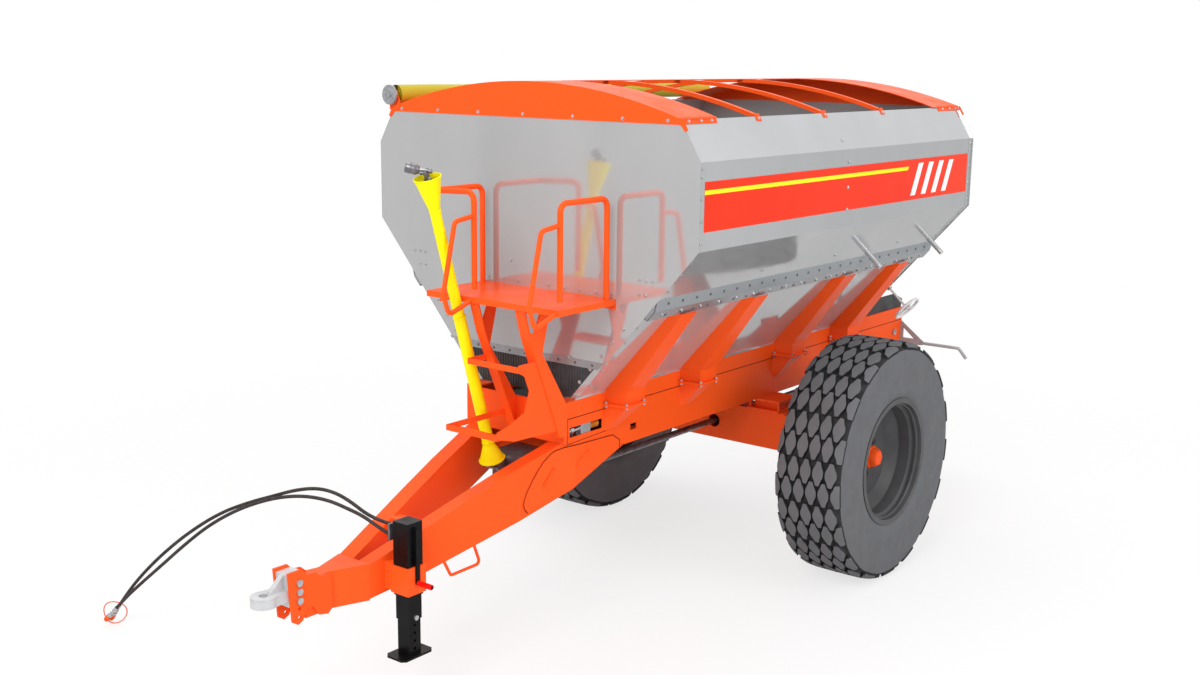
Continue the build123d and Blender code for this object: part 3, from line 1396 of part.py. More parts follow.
GRAB_REACH = 215
GRAB_TOP_Z = 2596
GRAB_LOW_Z = 2052
with BuildPart() as railings:
    front_y = back(-PLATFORM_DEPTH + POST_INSET)
    rear_y = back(-60)
    left_route = [
        (LEFT_POST_X, front_y, PLATFORM_Z),
        (LEFT_POST_X, front_y, HANDRAIL_Z + 20),
        (RAIL_LEFT_END, front_y, HANDRAIL_Z + 8),
        (RAIL_LEFT_END, rear_y, HANDRAIL_Z + 8),
        (RAIL_LEFT_END, rear_y, PLATFORM_Z),
    ]
    right_route = [
        (RIGHT_POST_X, front_y, PLATFORM_Z),
        (RIGHT_POST_X, front_y, HANDRAIL_Z),
        (RIGHT_POST_X, rear_y, HANDRAIL_Z),
        (RIGHT_POST_X, rear_y, PLATFORM_Z),
    ]
    add(round_tube(left_route, RAIL_BEND, RAIL_TUBE_R))
    add(round_tube(right_route, RAIL_BEND, RAIL_TUBE_R))
    edge_y = back(-PLATFORM_DEPTH)
    for x in (LEFT_POST_X, RIGHT_POST_X):
        route = [
            (x, front_y - 1, GRAB_TOP_Z),
            (x, edge_y - 118, GRAB_TOP_Z - 20),
            (x, edge_y - GRAB_REACH, GRAB_LOW_Z + 120),
            (x, edge_y - GRAB_REACH + 44, GRAB_LOW_Z),
            (x, edge_y + 20, PLATFORM_Z - PLATFORM_FOLD / 2),
        ]
        add(round_tube(route, GRAB_BEND, GRAB_TUBE_R))
        cut_box((x - 40, x + 40), (edge_y, edge_y + 60), (PLATFORM_Z - 90, PLATFORM_Z + 40))
finish(railings, "railings")

STRINGER_FOOT_Z = 1300
STRINGER_TOP_Z = PLATFORM_Z - PLATFORM_T
web_outline = [
    (-PLATFORM_DEPTH + PLATFORM_T + 1, STRINGER_TOP_Z),
    (-250, STRINGER_TOP_Z),
    (-330, 1830),
    (-CHASSIS_AHEAD, 1480),
    (-CHASSIS_AHEAD, STRINGER_FOOT_Z),
    (-170, STRINGER_FOOT_Z),
    (-440, 1930),
]
slot_outline = [(-470, 2080), (-345, 2080), (-400, 1960), (-432, 1960)]
FLANGE_W = 60
STEP_PLATE_T = 6
TREAD_T = 34
STEP_ARM_REACH = (-325, -170)
upper, lower = TREAD_STEPS
step_outline = [
    (-upper[0], upper[1] + 12),
    (-upper[0] - 10, upper[1] - 26),
    (-470, upper[1] - 60),
    (-430, upper[1] - 150),
    (-470, lower[1] + 90),
    (-600, lower[1] + 40),
    (-lower[0], lower[1] + 18),
    (-lower[0] - 8, lower[1] - 20),
    (-560, lower[1] - 60),
    (-200, lower[1] - 75),
    (-160, lower[1] - 30),
    (-300, 1700),
    (-352, upper[1] + 12),
]
step_arms = [
    [(-ahead, z), (-ahead, z - TREAD_T), (reach, z - TREAD_T), (reach, z)]
    for (ahead, z), reach in zip(TREAD_STEPS, STEP_ARM_REACH)
]
with BuildPart() as ladder_stringers:
    for x, inward, carriers in ((LADDER_X[0], 1, step_arms), (LADDER_X[1], -1, [step_outline])):
        with BuildSketch(lengthwise(x)):
            with BuildLine():
                Polyline(*[(back(b), z) for b, z in web_outline], close=True)
            make_face()
            with BuildLine():
                Polyline(*[(back(b), z) for b, z in slot_outline], close=True)
            make_face(mode=Mode.SUBTRACT)
        extrude(amount=inward * LADDER_PLATE)
        flange_x = (x + inward * LADDER_PLATE, x + inward * (LADDER_PLATE + FLANGE_W))
        add_box(
            flange_x,
            (back(-CHASSIS_AHEAD - 8), back(-CHASSIS_AHEAD)),
            (STRINGER_FOOT_Z, 1480),
        )
        with BuildSketch(lengthwise(x + inward * LADDER_PLATE)):
            with BuildLine():
                Polyline(
                    (back(-PLATFORM_DEPTH + PLATFORM_T + 1), STRINGER_TOP_Z),
                    (back(-PLATFORM_DEPTH + PLATFORM_T + 9), STRINGER_TOP_Z),
                    (back(-430), 1930),
                    (back(-160), STRINGER_FOOT_Z),
                    (back(-170), STRINGER_FOOT_Z),
                    (back(-440), 1930),
                    close=True,
                )
            make_face()
        extrude(amount=inward * FLANGE_W)
        with BuildSketch(lengthwise(x + inward * LADDER_PLATE)):
            for outline in carriers:
                with BuildLine():
                    Polyline(*[(back(b), z) for b, z in outline], close=True)
                make_face()
        extrude(amount=inward * STEP_PLATE_T, mode=Mode.SUBTRACT)
finish(ladder_stringers, "ladder_stringers")

inner_left = LADDER_X[0] + LADDER_PLATE
inner_right = LADDER_X[1] - LADDER_PLATE
with BuildPart() as ladder_steps:
    for x, inward, carriers in ((inner_left, 1, step_arms), (inner_right, -1, [step_outline])):
        with BuildSketch(lengthwise(x)):
            for outline in carriers:
                with BuildLine():
                    Polyline(*[(back(b), z) for b, z in outline], close=True)
                make_face()
        extrude(amount=inward * STEP_PLATE_T)
    for ahead, z in TREAD_STEPS:
        span_x = (inner_left + STEP_PLATE_T, inner_right - STEP_PLATE_T)
        add_box(span_x, (back(-ahead), back(-ahead + 100)), (z - TREAD_T, z - TREAD_T + 5))
        add_box(span_x, (back(-ahead), back(-ahead + 5)), (z - TREAD_T, z))
finish(ladder_steps, "ladder_steps")

# ---------------------------------------------------------------- spreading unit
ARM_LOW_Z = 840
ARM_PLATE = 8
with BuildPart() as spinner_gearbox:
    arm_outer = CHASSIS_HALF - 2
    for side in (-1, 1):
        x = (side * (arm_outer - ARM_PLATE), side * arm_outer)
        add_box(x, (back(3760), back(3950)), (ARM_LOW_Z, RAIL_BOTTOM_Z))
        add_box(x, (back(3760), back(DISC_BACK + 100)), (ARM_LOW_Z, DRIVE_Z + 45))
    add_box(
        (-arm_outer + ARM_PLATE, arm_outer - ARM_PLATE),
        (back(DISC_BACK - 100), back(DISC_BACK + 100)),
        (ARM_LOW_Z, DRIVE_Z + 45),
    )
    for side in (-1, 1):
        with BuildSketch(Plane.XY.offset(DRIVE_Z + 46)):
            with Locations((side * DISC_X, back(DISC_BACK))):
                Circle(20 + RUN_CLEAR)
        extrude(amount=-60, mode=Mode.SUBTRACT)
    with BuildSketch(facing_front(back(DISC_BACK - 50))):
        with Locations((0, DRIVE_Z)):
            Circle(DRIVE_R + RUN_CLEAR)
    extrude(amount=60, mode=Mode.SUBTRACT)
finish(spinner_gearbox, "spinner_gearbox")

VANE_H = 42
VANES = 4


def spreader_disc(side):
    """Spinner disc with radial vanes on a stub shaft."""
    with BuildPart() as disc:
        with BuildSketch(Plane.XY.offset(DISC_Z)):
            with Locations((side * DISC_X, back(DISC_BACK))):
                Circle(DISC_R)
        extrude(amount=5)
        with BuildSketch(Plane.XY.offset(DRIVE_Z - 10)):
            with Locations((side * DISC_X, back(DISC_BACK))):
                Circle(20)
        extrude(amount=DISC_Z - DRIVE_Z + 10)
        with BuildSketch(Plane.XY.offset(DISC_Z + 5)):
            with Locations((side * DISC_X, back(DISC_BACK))):
                Circle(48)
                for i in range(VANES):
                    turn = 360 / VANES * i + (45 if side > 0 else 0)
                    with PolarLocations((DISC_R + 60) / 2, 1, start_angle=turn):
                        Rectangle(DISC_R - 76, 6)
        extrude(amount=VANE_H)
    return disc


for side, name in ((1, "spinner_disc_left"), (-1, "spinner_disc_right")):
    finish(spreader_disc(side), name)

# ---------------------------------------------------------------- handwheel, pegs and rear brackets
HANDWHEEL_OUT = 232
HANDWHEEL_R = 104
HANDWHEEL_RIM_R = 11
spindle_x, spindle_z = on_slope(SPINDLE_ALONG, 0)
spindle = Plane(
    origin=(spindle_x, back(WHEEL_SPINDLE_BACK), spindle_z),
    x_dir=(0, 1, 0),
    z_dir=(SLOPE_OUT[0], 0, SLOPE_OUT[1]),
)
with BuildPart() as handwheel:
    with BuildSketch(spindle.offset(SHEET + 2)):
        Circle(SPINDLE_R)
    extrude(amount=HANDWHEEL_OUT - SHEET - 2 + 8)
    with BuildSketch(spindle.offset(HANDWHEEL_OUT - 8)):
        Circle(22)
        for i in range(3):
            with PolarLocations(HANDWHEEL_R / 2, 1, start_angle=120 * i):
                Rectangle(HANDWHEEL_R, 14)
    extrude(amount=14)
    with Locations(spindle.offset(HANDWHEEL_OUT)):
        Torus(HANDWHEEL_R, HANDWHEEL_RIM_R)
finish(handwheel, "handwheel")

BRACKET_T = 8
ROD_R = 13
ROD_Z = 1205
with BuildPart() as rear_brackets:
    for side in (-1, 1):
        with BuildSketch(facing_front(back(CHASSIS_BACK - 2))):
            with BuildLine():
                Polyline(
                    (side * CHASSIS_HALF, 1378),
                    (side * CHASSIS_HALF, 1168),
                    (side * 592, 1192),
                    (side * 600, 1222),
                    close=True,
                )
            make_face()
            with BuildLine():
                Polyline(
                    (side * (CHASSIS_HALF + 26), 1318),
                    (side * (CHASSIS_HALF + 26), 1236),
                    (side * 516, 1236),
                    close=True,
                )
            make_face(mode=Mode.SUBTRACT)
        extrude(amount=BRACKET_T)
        rod_route = [
            (side * (CHASSIS_HALF + 4), back(CHASSIS_BACK + 8), ROD_Z),
            (side * 905, back(CHASSIS_BACK + 8), ROD_Z + 2),
            (side * 972, back(CHASSIS_BACK + 8), ROD_Z - 74),
        ]
        add(round_tube(rod_route, 40, ROD_R))
finish(rear_brackets, "rear_brackets")

# ---------------------------------------------------------------- fasteners
WALL_BOLT_XS = (-300, -180, -60, 60, 180, 300, 420, 540, 650)
M12_HEAD = 24
M12_H = 9
HOPPER_BOLT_HEAD = 17
HOPPER_BOLT_H = 6
with BuildPart() as fasteners:
    for side in (-1, 1):
        for brace_back in BRACE_BACKS:
            y = back(brace_back)
            spots = (
                (CHASSIS_HALF + 16, y - 10),
                (CHASSIS_HALF + BRACE_OUT_LOW + 12, y + 20),
                (CHASSIS_HALF + BRACE_OUT_LOW + 12, y + BRACE_WIDTH_LOW + 10),
            )
            for bolt_x, bolt_y in spots:
                add(bolt_head((side * bolt_x, bolt_y, BRACE_FOOT_Z + BRACE_FLANGE_T), (0, 0, 1), 7, M12_HEAD, M12_H))
                add(bolt_head((side * bolt_x, bolt_y, BRACE_FOOT_Z - BRACE_FLANGE_T), (0, 0, -1), 7, M12_HEAD, M12_H))
    for z in hole_heights[:3]:
        reach = NOSE_HALF + HITCH_PLATE_T
        with BuildSketch(lengthwise(-reach)):
            with Locations((back(-bolt_ahead), z)):
                Circle(HITCH_BOLT_R)
        extrude(amount=2 * reach)
        for side in (-1, 1):
            with BuildSketch(lengthwise(side * reach)):
                with Locations((back(-bolt_ahead), z)):
                    Circle(19)
            extrude(amount=side * 12)

    front_face = back(0)
    for x in WALL_BOLT_XS:
        add(bolt_head((x, front_face, PLATFORM_Z + 24), (0, -1, 0), 5, HOPPER_BOLT_HEAD, HOPPER_BOLT_H))
    for side in (-1, 1):
        for dx in (0, 46, 92):
            place = (side * (852 + dx), front_face, 2262)
            add(bolt_head(place, (0, -1, 0), 5, HOPPER_BOLT_HEAD, HOPPER_BOLT_H))
        for dx in (0, 46):
            place = (side * (852 + dx), front_face, 2180)
            add(bolt_head(place, (0, -1, 0), 5, HOPPER_BOLT_HEAD, HOPPER_BOLT_H))
        for i in range(LEDGE_BOLTS):
            y = back(110 + i * (HOPPER_LENGTH - 220) / (LEDGE_BOLTS - 1))
            x, z = on_slope(LEDGE_LOW + 48, LEDGE_OUT)
            outwards = (side * SLOPE_OUT[0], 0, SLOPE_OUT[1])
            add(bolt_head((side * x, y, z), outwards, 5, HOPPER_BOLT_HEAD, HOPPER_BOLT_H))
finish(fasteners, "fasteners")

# ---------------------------------------------------------------- hoses
# Each route is a list of points in millimetres: X, distance behind the hopper wall, Z.
HOSE_START_X = 170
HOSE_ROUTES = {
    "hose_upper": [
        (HOSE_START_X, -1262, 1000),
        (90, -1275, 1006),
        (-5, -1299, 1032),
        (-100, -1322, 1086),
        (-205, -1344, 1124),
        (-330, -1369, 1130),
        (-480, -1399, 1094),
        (-640, -1431, 1032),
        (-810, -1466, 968),
        (-1020, -1508, 872),
        (-1250, -1554, 722),
        (-1455, -1596, 560),
        (-1640, -1633, 390),
        (-1785, -1662, 232),
        (-1868, -1679, 122),
    ],
    "hose_lower": [
        (HOSE_START_X, -1292, 955),
        (105, -1312, 985),
        (15, -1338, 1034),
        (-90, -1361, 1062),
        (-215, -1386, 1088),
        (-365, -1417, 1088),
        (-525, -1449, 1058),
        (-695, -1483, 1000),
        (-890, -1523, 908),
        (-1090, -1563, 782),
        (-1280, -1602, 628),
        (-1450, -1636, 480),
        (-1620, -1670, 335),
        (-1760, -1698, 210),
        (-1845, -1716, 122),
    ],
}
COUPLER_LENGTH = 78
COUPLER_R = 16
CAP_LEN = 46
TETHER_R = 2.5
hose_starts = []
hose_ends = []
for name, route in HOSE_ROUTES.items():
    points = [Vector(x, back(b), z) for x, b, z in route]
    radii = []
    for before, here, after in zip(points, points[1:], points[2:]):
        turn = (here - before).get_angle(after - here)
        shorter = min((here - before).length, (after - here).length)
        radii.append(0.45 * shorter / tan(radians(turn / 2)))
    print(name, "radii", [round(r) for r in radii])
    with BuildPart() as hose:
        with BuildLine() as path:
            FilletPolyline(*points, radius=radii)
        with BuildSketch(Plane(origin=path.line @ 0, z_dir=path.line % 0)):
            Circle(HOSE_R)
        sweep(path=path.line)
    length = sum(edge.length for edge in path.line.edges())
    print(name, "length", round(length), "volume ratio", round(hose.part.volume / (pi * HOSE_R**2 * length), 4))
    finish(hose, name)
    hose_starts.append((points[0], (points[0] - points[1]).normalized()))
    hose_ends.append((points[-1], (points[-1] - points[-2]).normalized()))

with BuildPart() as hose_couplers:
    for place, direction in hose_ends:
        with BuildSketch(Plane(origin=place, z_dir=direction)):
            Circle(COUPLER_R - 3)
        extrude(amount=30)
        with BuildSketch(Plane(origin=place + direction * 30, z_dir=direction)):
            RegularPolygon(radius=COUPLER_R, side_count=6)
        extrude(amount=COUPLER_LENGTH - 30)
    block_x = HOSE_START_X + 12
    for place, direction in hose_starts:
        with BuildSketch(Plane(origin=place, z_dir=direction)):
            Circle(COUPLER_R - 3)
        extrude(amount=20)
    add_box((block_x, block_x + 14), (JACK_Y - 62, JACK_Y + 20), (930, 1024))
    add_box((block_x + 14, JACK_X - JACK_OUTER / 2), (JACK_Y - 20, JACK_Y + 20), (930, 1024))
finish(hose_couplers, "hose_couplers")

with BuildPart() as coupler_caps:
    for place, direction in hose_ends:
        with BuildSketch(Plane(origin=place + direction * COUPLER_LENGTH, z_dir=direction)):
            Circle(COUPLER_R + 1)
        extrude(amount=CAP_LEN)
finish(coupler_caps, "coupler_caps")
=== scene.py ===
"""Trailed belt spreader: finishes, tyres, hoses, tarp and small fittings built round its CAD frame.

The file is laid out as an add-on and is run as a script. Lengths are metres, in the frame's own axes:
+X is the machine's left side, -Y its hitch end, +Z up.
"""

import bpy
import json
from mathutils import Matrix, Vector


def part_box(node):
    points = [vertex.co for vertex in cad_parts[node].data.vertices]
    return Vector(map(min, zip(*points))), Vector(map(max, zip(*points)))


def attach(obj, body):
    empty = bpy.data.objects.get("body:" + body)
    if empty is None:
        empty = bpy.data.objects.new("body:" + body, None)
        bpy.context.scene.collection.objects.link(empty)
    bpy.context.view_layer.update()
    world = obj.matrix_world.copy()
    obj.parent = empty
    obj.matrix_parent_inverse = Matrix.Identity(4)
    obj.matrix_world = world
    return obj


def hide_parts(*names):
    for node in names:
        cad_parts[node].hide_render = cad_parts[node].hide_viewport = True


bl_info = {
    "name": "Trailed belt spreader",
    "version": (1, 0, 0),
    "blender": (4, 5, 0),
    "location": "View3D > Sidebar > Spreader",
    "description": "Builds the finishes, tyres, hoses, tarp and fittings of a trailed belt spreader",
    "category": "Add Mesh",
}

import json
import math

import bmesh
import bpy
from mathutils import Matrix, Vector

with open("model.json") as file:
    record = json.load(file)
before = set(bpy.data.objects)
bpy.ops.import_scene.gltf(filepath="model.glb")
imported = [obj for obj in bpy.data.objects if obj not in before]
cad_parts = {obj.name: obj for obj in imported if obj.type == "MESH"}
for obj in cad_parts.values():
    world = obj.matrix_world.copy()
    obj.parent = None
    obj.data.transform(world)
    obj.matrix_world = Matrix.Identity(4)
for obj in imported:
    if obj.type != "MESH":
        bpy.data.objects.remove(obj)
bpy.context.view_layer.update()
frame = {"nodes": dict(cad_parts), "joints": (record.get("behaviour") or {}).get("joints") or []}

# Places that several pieces share, taken from the frame's own nodes.
WALL_LOW, WALL_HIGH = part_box("hopper_front_wall")
FRONT_Y = WALL_LOW[1]
REAR_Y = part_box("hopper_side_left")[1][1]
WHEEL_LOW, WHEEL_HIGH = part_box("tyre_left")
WHEEL_CENTRE = Vector([(a + b) / 2 for a, b in zip(WHEEL_LOW, WHEEL_HIGH)])
TARP_LOW, TARP_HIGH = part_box("tarp_roll")
TARP_CENTRE = Vector([(a + b) / 2 for a, b in zip(TARP_LOW, TARP_HIGH)])
# Half widths of the chassis and of the hopper's upright sides, and the slanted side between them.
CHASSIS_X = 0.392
SIDE_X = 1.236
SLOPE_FOOT = Vector((CHASSIS_X, 0, 1.502))
SLOPE_HEAD = Vector((SIDE_X, 0, 2.451))
SLOPE_UP = (SLOPE_HEAD - SLOPE_FOOT).normalized()
SLOPE_OUT = Vector((SLOPE_UP.z, 0, -SLOPE_UP.x))
# The side sheets lean in again above their upper bend.
TOP_BEND = Vector((SIDE_X, 0, 2.939))
TOP_EDGE = Vector((1.105, 0, WALL_HIGH[2]))
TOP_LEAN = (TOP_BEND.x - TOP_EDGE.x) / (TOP_EDGE.z - TOP_BEND.z)
TOP_OUT = Vector((TOP_EDGE.z - TOP_BEND.z, 0, TOP_BEND.x - TOP_EDGE.x)).normalized()


# ---------------------------------------------------------------- helpers
def srgb(value):
    """Linear colour of an sRGB hex value."""
    parts = [int(value[i : i + 2], 16) / 255 for i in (1, 3, 5)]
    return [p / 12.92 if p <= 0.04045 else ((p + 0.055) / 1.055) ** 2.4 for p in parts] + [1.0]


def add(tree, kind, sockets=None, links=None, **settings):
    """Add a node with its settings, its plain socket values, and links given as (node, output)."""
    made = tree.nodes.new(kind)
    for name, value in settings.items():
        setattr(made, name, value)
    for name, value in (sockets or {}).items():
        made.inputs[name].default_value = value
    for name, (source, output) in (links or {}).items():
        tree.links.new(source.outputs[output], made.inputs[name])
    return made


def start_finish(name, colour, **sockets):
    """A material with its shader, its Object coordinates, and plain values on the shader's own sockets."""
    material = bpy.data.materials.new(name)
    material.use_nodes = True
    tree = material.node_tree
    shader = tree.nodes["Principled BSDF"]
    shader.inputs["Base Color"].default_value = srgb(colour)
    if not sockets.get("Metallic"):
        sockets.setdefault("Specular_IOR_Level", 0.16)
    for socket, value in sockets.items():
        shader.inputs[socket.replace("_", " ")].default_value = value
    return material, tree, shader, add(tree, "ShaderNodeTexCoord")


def vary_colour(tree, shader, coords, low, high, scale, stretch=(1, 1, 1)):
    """Colour that drifts between two hex values in soft patches."""
    place = add(tree, "ShaderNodeMapping", {"Scale": stretch}, {"Vector": (coords, "Object")})
    noise = add(tree, "ShaderNodeTexNoise", {"Scale": scale, "Detail": 4.0}, {"Vector": (place, "Vector")})
    colour_ramp(tree, shader, (noise, "Fac"), ((0.32, low), (0.68, high)))


def colour_ramp(tree, shader, source, stops):
    """Base colour from a ramp of two (position, hex value) stops."""
    ramp = add(tree, "ShaderNodeValToRGB", links={"Fac": source})
    for element, (position, colour) in zip(ramp.color_ramp.elements, stops):
        element.position = position
        element.color = srgb(colour)
    tree.links.new(ramp.outputs["Color"], shader.inputs["Base Color"])


def vary_roughness(tree, shader, coords, low, high, scale, stretch=(1, 1, 1)):
    """Roughness that drifts between two values."""
    place = add(tree, "ShaderNodeMapping", {"Scale": stretch}, {"Vector": (coords, "Object")})
    noise = add(tree, "ShaderNodeTexNoise", {"Scale": scale, "Detail": 3.0}, {"Vector": (place, "Vector")})
    spread = add(
        tree,
        "ShaderNodeMapRange",
        {"From Min": 0.3, "From Max": 0.7, "To Min": low, "To Max": high},
        {"Value": (noise, "Fac")},
    )
    tree.links.new(spread.outputs["Result"], shader.inputs["Roughness"])


def raise_grain(tree, shader, coords, scale, distance, strength=0.5, stretch=(1, 1, 1)):
    """Fine surface relief from noise."""
    place = add(tree, "ShaderNodeMapping", {"Scale": stretch}, {"Vector": (coords, "Object")})
    noise = add(tree, "ShaderNodeTexNoise", {"Scale": scale, "Detail": 2.0}, {"Vector": (place, "Vector")})
    raise_height(tree, shader, noise, distance, strength)


def raise_height(tree, shader, height, distance, strength):
    """Relief from a texture node's Fac output."""
    bump = add(
        tree, "ShaderNodeBump", {"Strength": strength, "Distance": distance}, {"Height": (height, "Fac")}
    )
    tree.links.new(bump.outputs["Normal"], shader.inputs["Normal"])


def drift_round(tree, shader, coords, colour, scale, detail, low, high):
    """Soft patches a little darker and a little lighter than one colour of the settings."""
    noise = add(tree, "ShaderNodeTexNoise", {"Scale": scale, "Detail": detail}, {"Vector": (coords, "Object")})
    mix = add(tree, "ShaderNodeMix", links={"Factor": (noise, "Fac")}, data_type="RGBA")
    for socket, share in (("A", low), ("B", high)):
        mix.inputs[socket].default_value = [min(1, v * share) for v in colour] + [1]
    tree.links.new(mix.outputs["Result"], shader.inputs["Base Color"])


def math_node(tree, operation, *terms):
    """Output of a math node fed with other nodes' outputs or plain numbers."""
    made = add(tree, "ShaderNodeMath", operation=operation)
    for socket, term in zip(made.inputs, terms):
        if isinstance(term, float):
            socket.default_value = term
        else:
            tree.links.new(term, socket)
    return made.outputs[0]


def mix_shaders(tree, share, first, second):
    """Mix of two shader nodes by an output."""
    blend = add(tree, "ShaderNodeMixShader")
    tree.links.new(share, blend.inputs[0])
    tree.links.new(first.outputs[0], blend.inputs[1])
    tree.links.new(second.outputs[0], blend.inputs[2])
    return blend


def mesh_piece(name, points, faces, material, sharp=30.0):
    """Object at the origin from plain points and faces, shaded smooth up to an angle."""
    mesh = bpy.data.meshes.new(name)
    mesh.from_pydata([tuple(p) for p in points], [], faces)
    mesh.materials.append(material)
    mesh.validate()
    finish_shading(mesh, sharp)
    piece = bpy.data.objects.new(name, mesh)
    bpy.context.scene.collection.objects.link(piece)
    return piece


def finish_shading(mesh, sharp):
    """Smooth shading with edges sharper than an angle kept crisp."""
    mesh.shade_smooth()
    mesh.set_sharp_from_angle(angle=math.radians(sharp))


def joined(parts):
    """Points and faces of several shapes as one."""
    points, faces = [], []
    for part_points, part_faces in parts:
        start = len(points)
        points += list(part_points)
        faces += [tuple(i + start for i in face) for face in part_faces]
    return points, faces


def axes_along(direction):
    """Two unit directions across a third."""
    direction = Vector(direction).normalized()
    helper = Vector((0, 0, 1)) if abs(direction.z) < 0.9 else Vector((1, 0, 0))
    side = direction.cross(helper).normalized()
    return side, direction.cross(side).normalized(), direction


def on_ring(middle, side, up, radius, turn):
    """Point on a circle round a middle, at an angle from the first of two directions across its axis."""
    return middle + side * radius * math.cos(turn) + up * radius * math.sin(turn)


def between_rings(rows, steps, closed=False):
    """Faces between rows of points in rings, with flat ends where the rows don't close on themselves."""
    faces = []
    for row in range(rows if closed else rows - 1):
        here, there = row * steps, (row + 1) % rows * steps
        for i in range(steps):
            j = (i + 1) % steps
            faces.append((here + i, here + j, there + j, there + i))
    if not closed:
        faces.append(tuple(range(steps - 1, -1, -1)))
        faces.append(tuple((rows - 1) * steps + i for i in range(steps)))
    return faces


def lathe(profile, centre, direction, steps=64, closed=False):
    """Shape of revolution: profile is (along the axis, radius) pairs, with caps where it is open."""
    side, up, along = axes_along(direction)
    centre = Vector(centre)
    points = [
        on_ring(centre + along * distance, side, up, radius, math.tau * i / steps)
        for distance, radius in profile
        for i in range(steps)
    ]
    return points, between_rings(len(profile), steps, closed)


def prism(outline, thickness):
    """Plate from a flat outline of points, thickened along a vector."""
    count = len(outline)
    thickness = Vector(thickness)
    points = [Vector(p) for p in outline] + [Vector(p) + thickness for p in outline]
    faces = [tuple(range(count - 1, -1, -1)), tuple(range(count, 2 * count))]
    faces += [(i, (i + 1) % count, (i + 1) % count + count, i + count) for i in range(count)]
    return points, faces


def block(low, high):
    """Rectangular block between two corners."""
    x, y, z = low
    outline = [(x, y, z), (high[0], y, z), (high[0], high[1], z), (x, high[1], z)]
    return prism(outline, (0, 0, high[2] - z))


def tube(points, radius, steps=12):
    """Round bar through points, with its bends mitred."""
    points = [Vector(p) for p in points]
    ring_points = []
    side = axes_along(points[1] - points[0])[0]
    for i, point in enumerate(points):
        before = (point - points[i - 1]).normalized() if i else (points[1] - points[0]).normalized()
        after = (points[i + 1] - point).normalized() if i < len(points) - 1 else before
        along = (before + after).normalized()
        side = (side - along * side.dot(along)).normalized()
        up = along.cross(side)
        ring_points += [on_ring(point, side, up, radius, math.tau * k / steps) for k in range(steps)]
    return ring_points, between_rings(len(points), steps)


def outward(piece):
    """Turn every face of a closed piece outwards."""
    shell = bmesh.new()
    shell.from_mesh(piece.data)
    bmesh.ops.remove_doubles(shell, verts=shell.verts, dist=1e-6)
    bmesh.ops.recalc_face_normals(shell, faces=shell.faces)
    shell.to_mesh(piece.data)
    shell.free()
    return piece


def softened(piece, width=0.002, segments=2):
    """Bevel the crisp edges of a made piece and apply it."""
    modifier = piece.modifiers.new("Edge", "BEVEL")
    modifier.width = width
    modifier.segments = segments
    modifier.limit_method = "ANGLE"
    modifier.angle_limit = math.radians(35)
    settle(piece)
    finish_shading(piece.data, 30.0)
    return piece


def settle(piece):
    """Turn the evaluated result into the piece's own plain mesh and drop its modifiers."""
    graph = bpy.context.evaluated_depsgraph_get()
    result = bpy.data.meshes.new_from_object(piece.evaluated_get(graph))
    piece.modifiers.clear()
    piece.data = result
    return piece


def placed(piece, body, slot, *stands_for):
    """Let a finished piece ride on a body and stand for any CAD nodes named; the slot is not used."""
    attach(piece, body)
    if stands_for:
        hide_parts(*stands_for)
    return piece


def closed_piece(name, parts, finish, body, slot, *stands_for, sharp=30.0):
    """Several closed shapes as one placed piece."""
    piece = outward(mesh_piece(name, *joined(parts), FINISH[finish], sharp))
    return placed(piece, body, slot, *stands_for)


# ---------------------------------------------------------------- geometry nodes
MARK = "stands_along"


def new_tree(name, inputs):
    """Empty geometry tree with named inputs and one geometry output."""
    tree = bpy.data.node_groups.new(name, "GeometryNodeTree")
    tree.is_modifier = True
    for label, kind in inputs:
        tree.interface.new_socket(label, in_out="INPUT", socket_type=kind)
    tree.interface.new_socket("Geometry", in_out="OUTPUT", socket_type="NodeSocketGeometry")
    return tree, tree.nodes.new("NodeGroupInput"), tree.nodes.new("NodeGroupOutput")


def coated_copies(tree, given, result, points, shape, turned):
    """Copies of a shape on points, turned, made real and coated: the end of both trees."""
    copies = add(
        tree,
        "GeometryNodeInstanceOnPoints",
        links={"Points": points, "Instance": (shape, "Geometry"), "Rotation": (turned, 0)},
    )
    real = add(tree, "GeometryNodeRealizeInstances", links={"Geometry": (copies, 0)})
    coat = add(
        tree, "GeometryNodeSetMaterial", links={"Geometry": (real, 0), "Material": (given, "Finish")}
    )
    tree.links.new(coat.outputs[0], result.inputs[0])
    return tree


def ring_tree():
    """Copies of one shape turned round the X axis through a centre."""
    inputs = [
        ("Geometry", "NodeSocketGeometry"),
        ("Shape", "NodeSocketObject"),
        ("Count", "NodeSocketInt"),
        ("Phase", "NodeSocketFloat"),
        ("Centre", "NodeSocketVector"),
        ("Finish", "NodeSocketMaterial"),
    ]
    tree, given, result = new_tree("Ring of copies", inputs)
    shape = add(tree, "GeometryNodeObjectInfo", links={"Object": (given, "Shape")})
    line = add(
        tree,
        "GeometryNodeMeshLine",
        {"Offset": (0, 0, 0)},
        {"Count": (given, "Count"), "Start Location": (given, "Centre")},
    )
    index = add(tree, "GeometryNodeInputIndex")
    share = math_node(tree, "DIVIDE", index.outputs[0], given.outputs["Count"])
    shifted = math_node(tree, "ADD", share, given.outputs["Phase"])
    angles = add(tree, "ShaderNodeCombineXYZ")
    tree.links.new(math_node(tree, "MULTIPLY", shifted, math.tau), angles.inputs["X"])
    return coated_copies(tree, given, result, (line, 0), shape, angles)


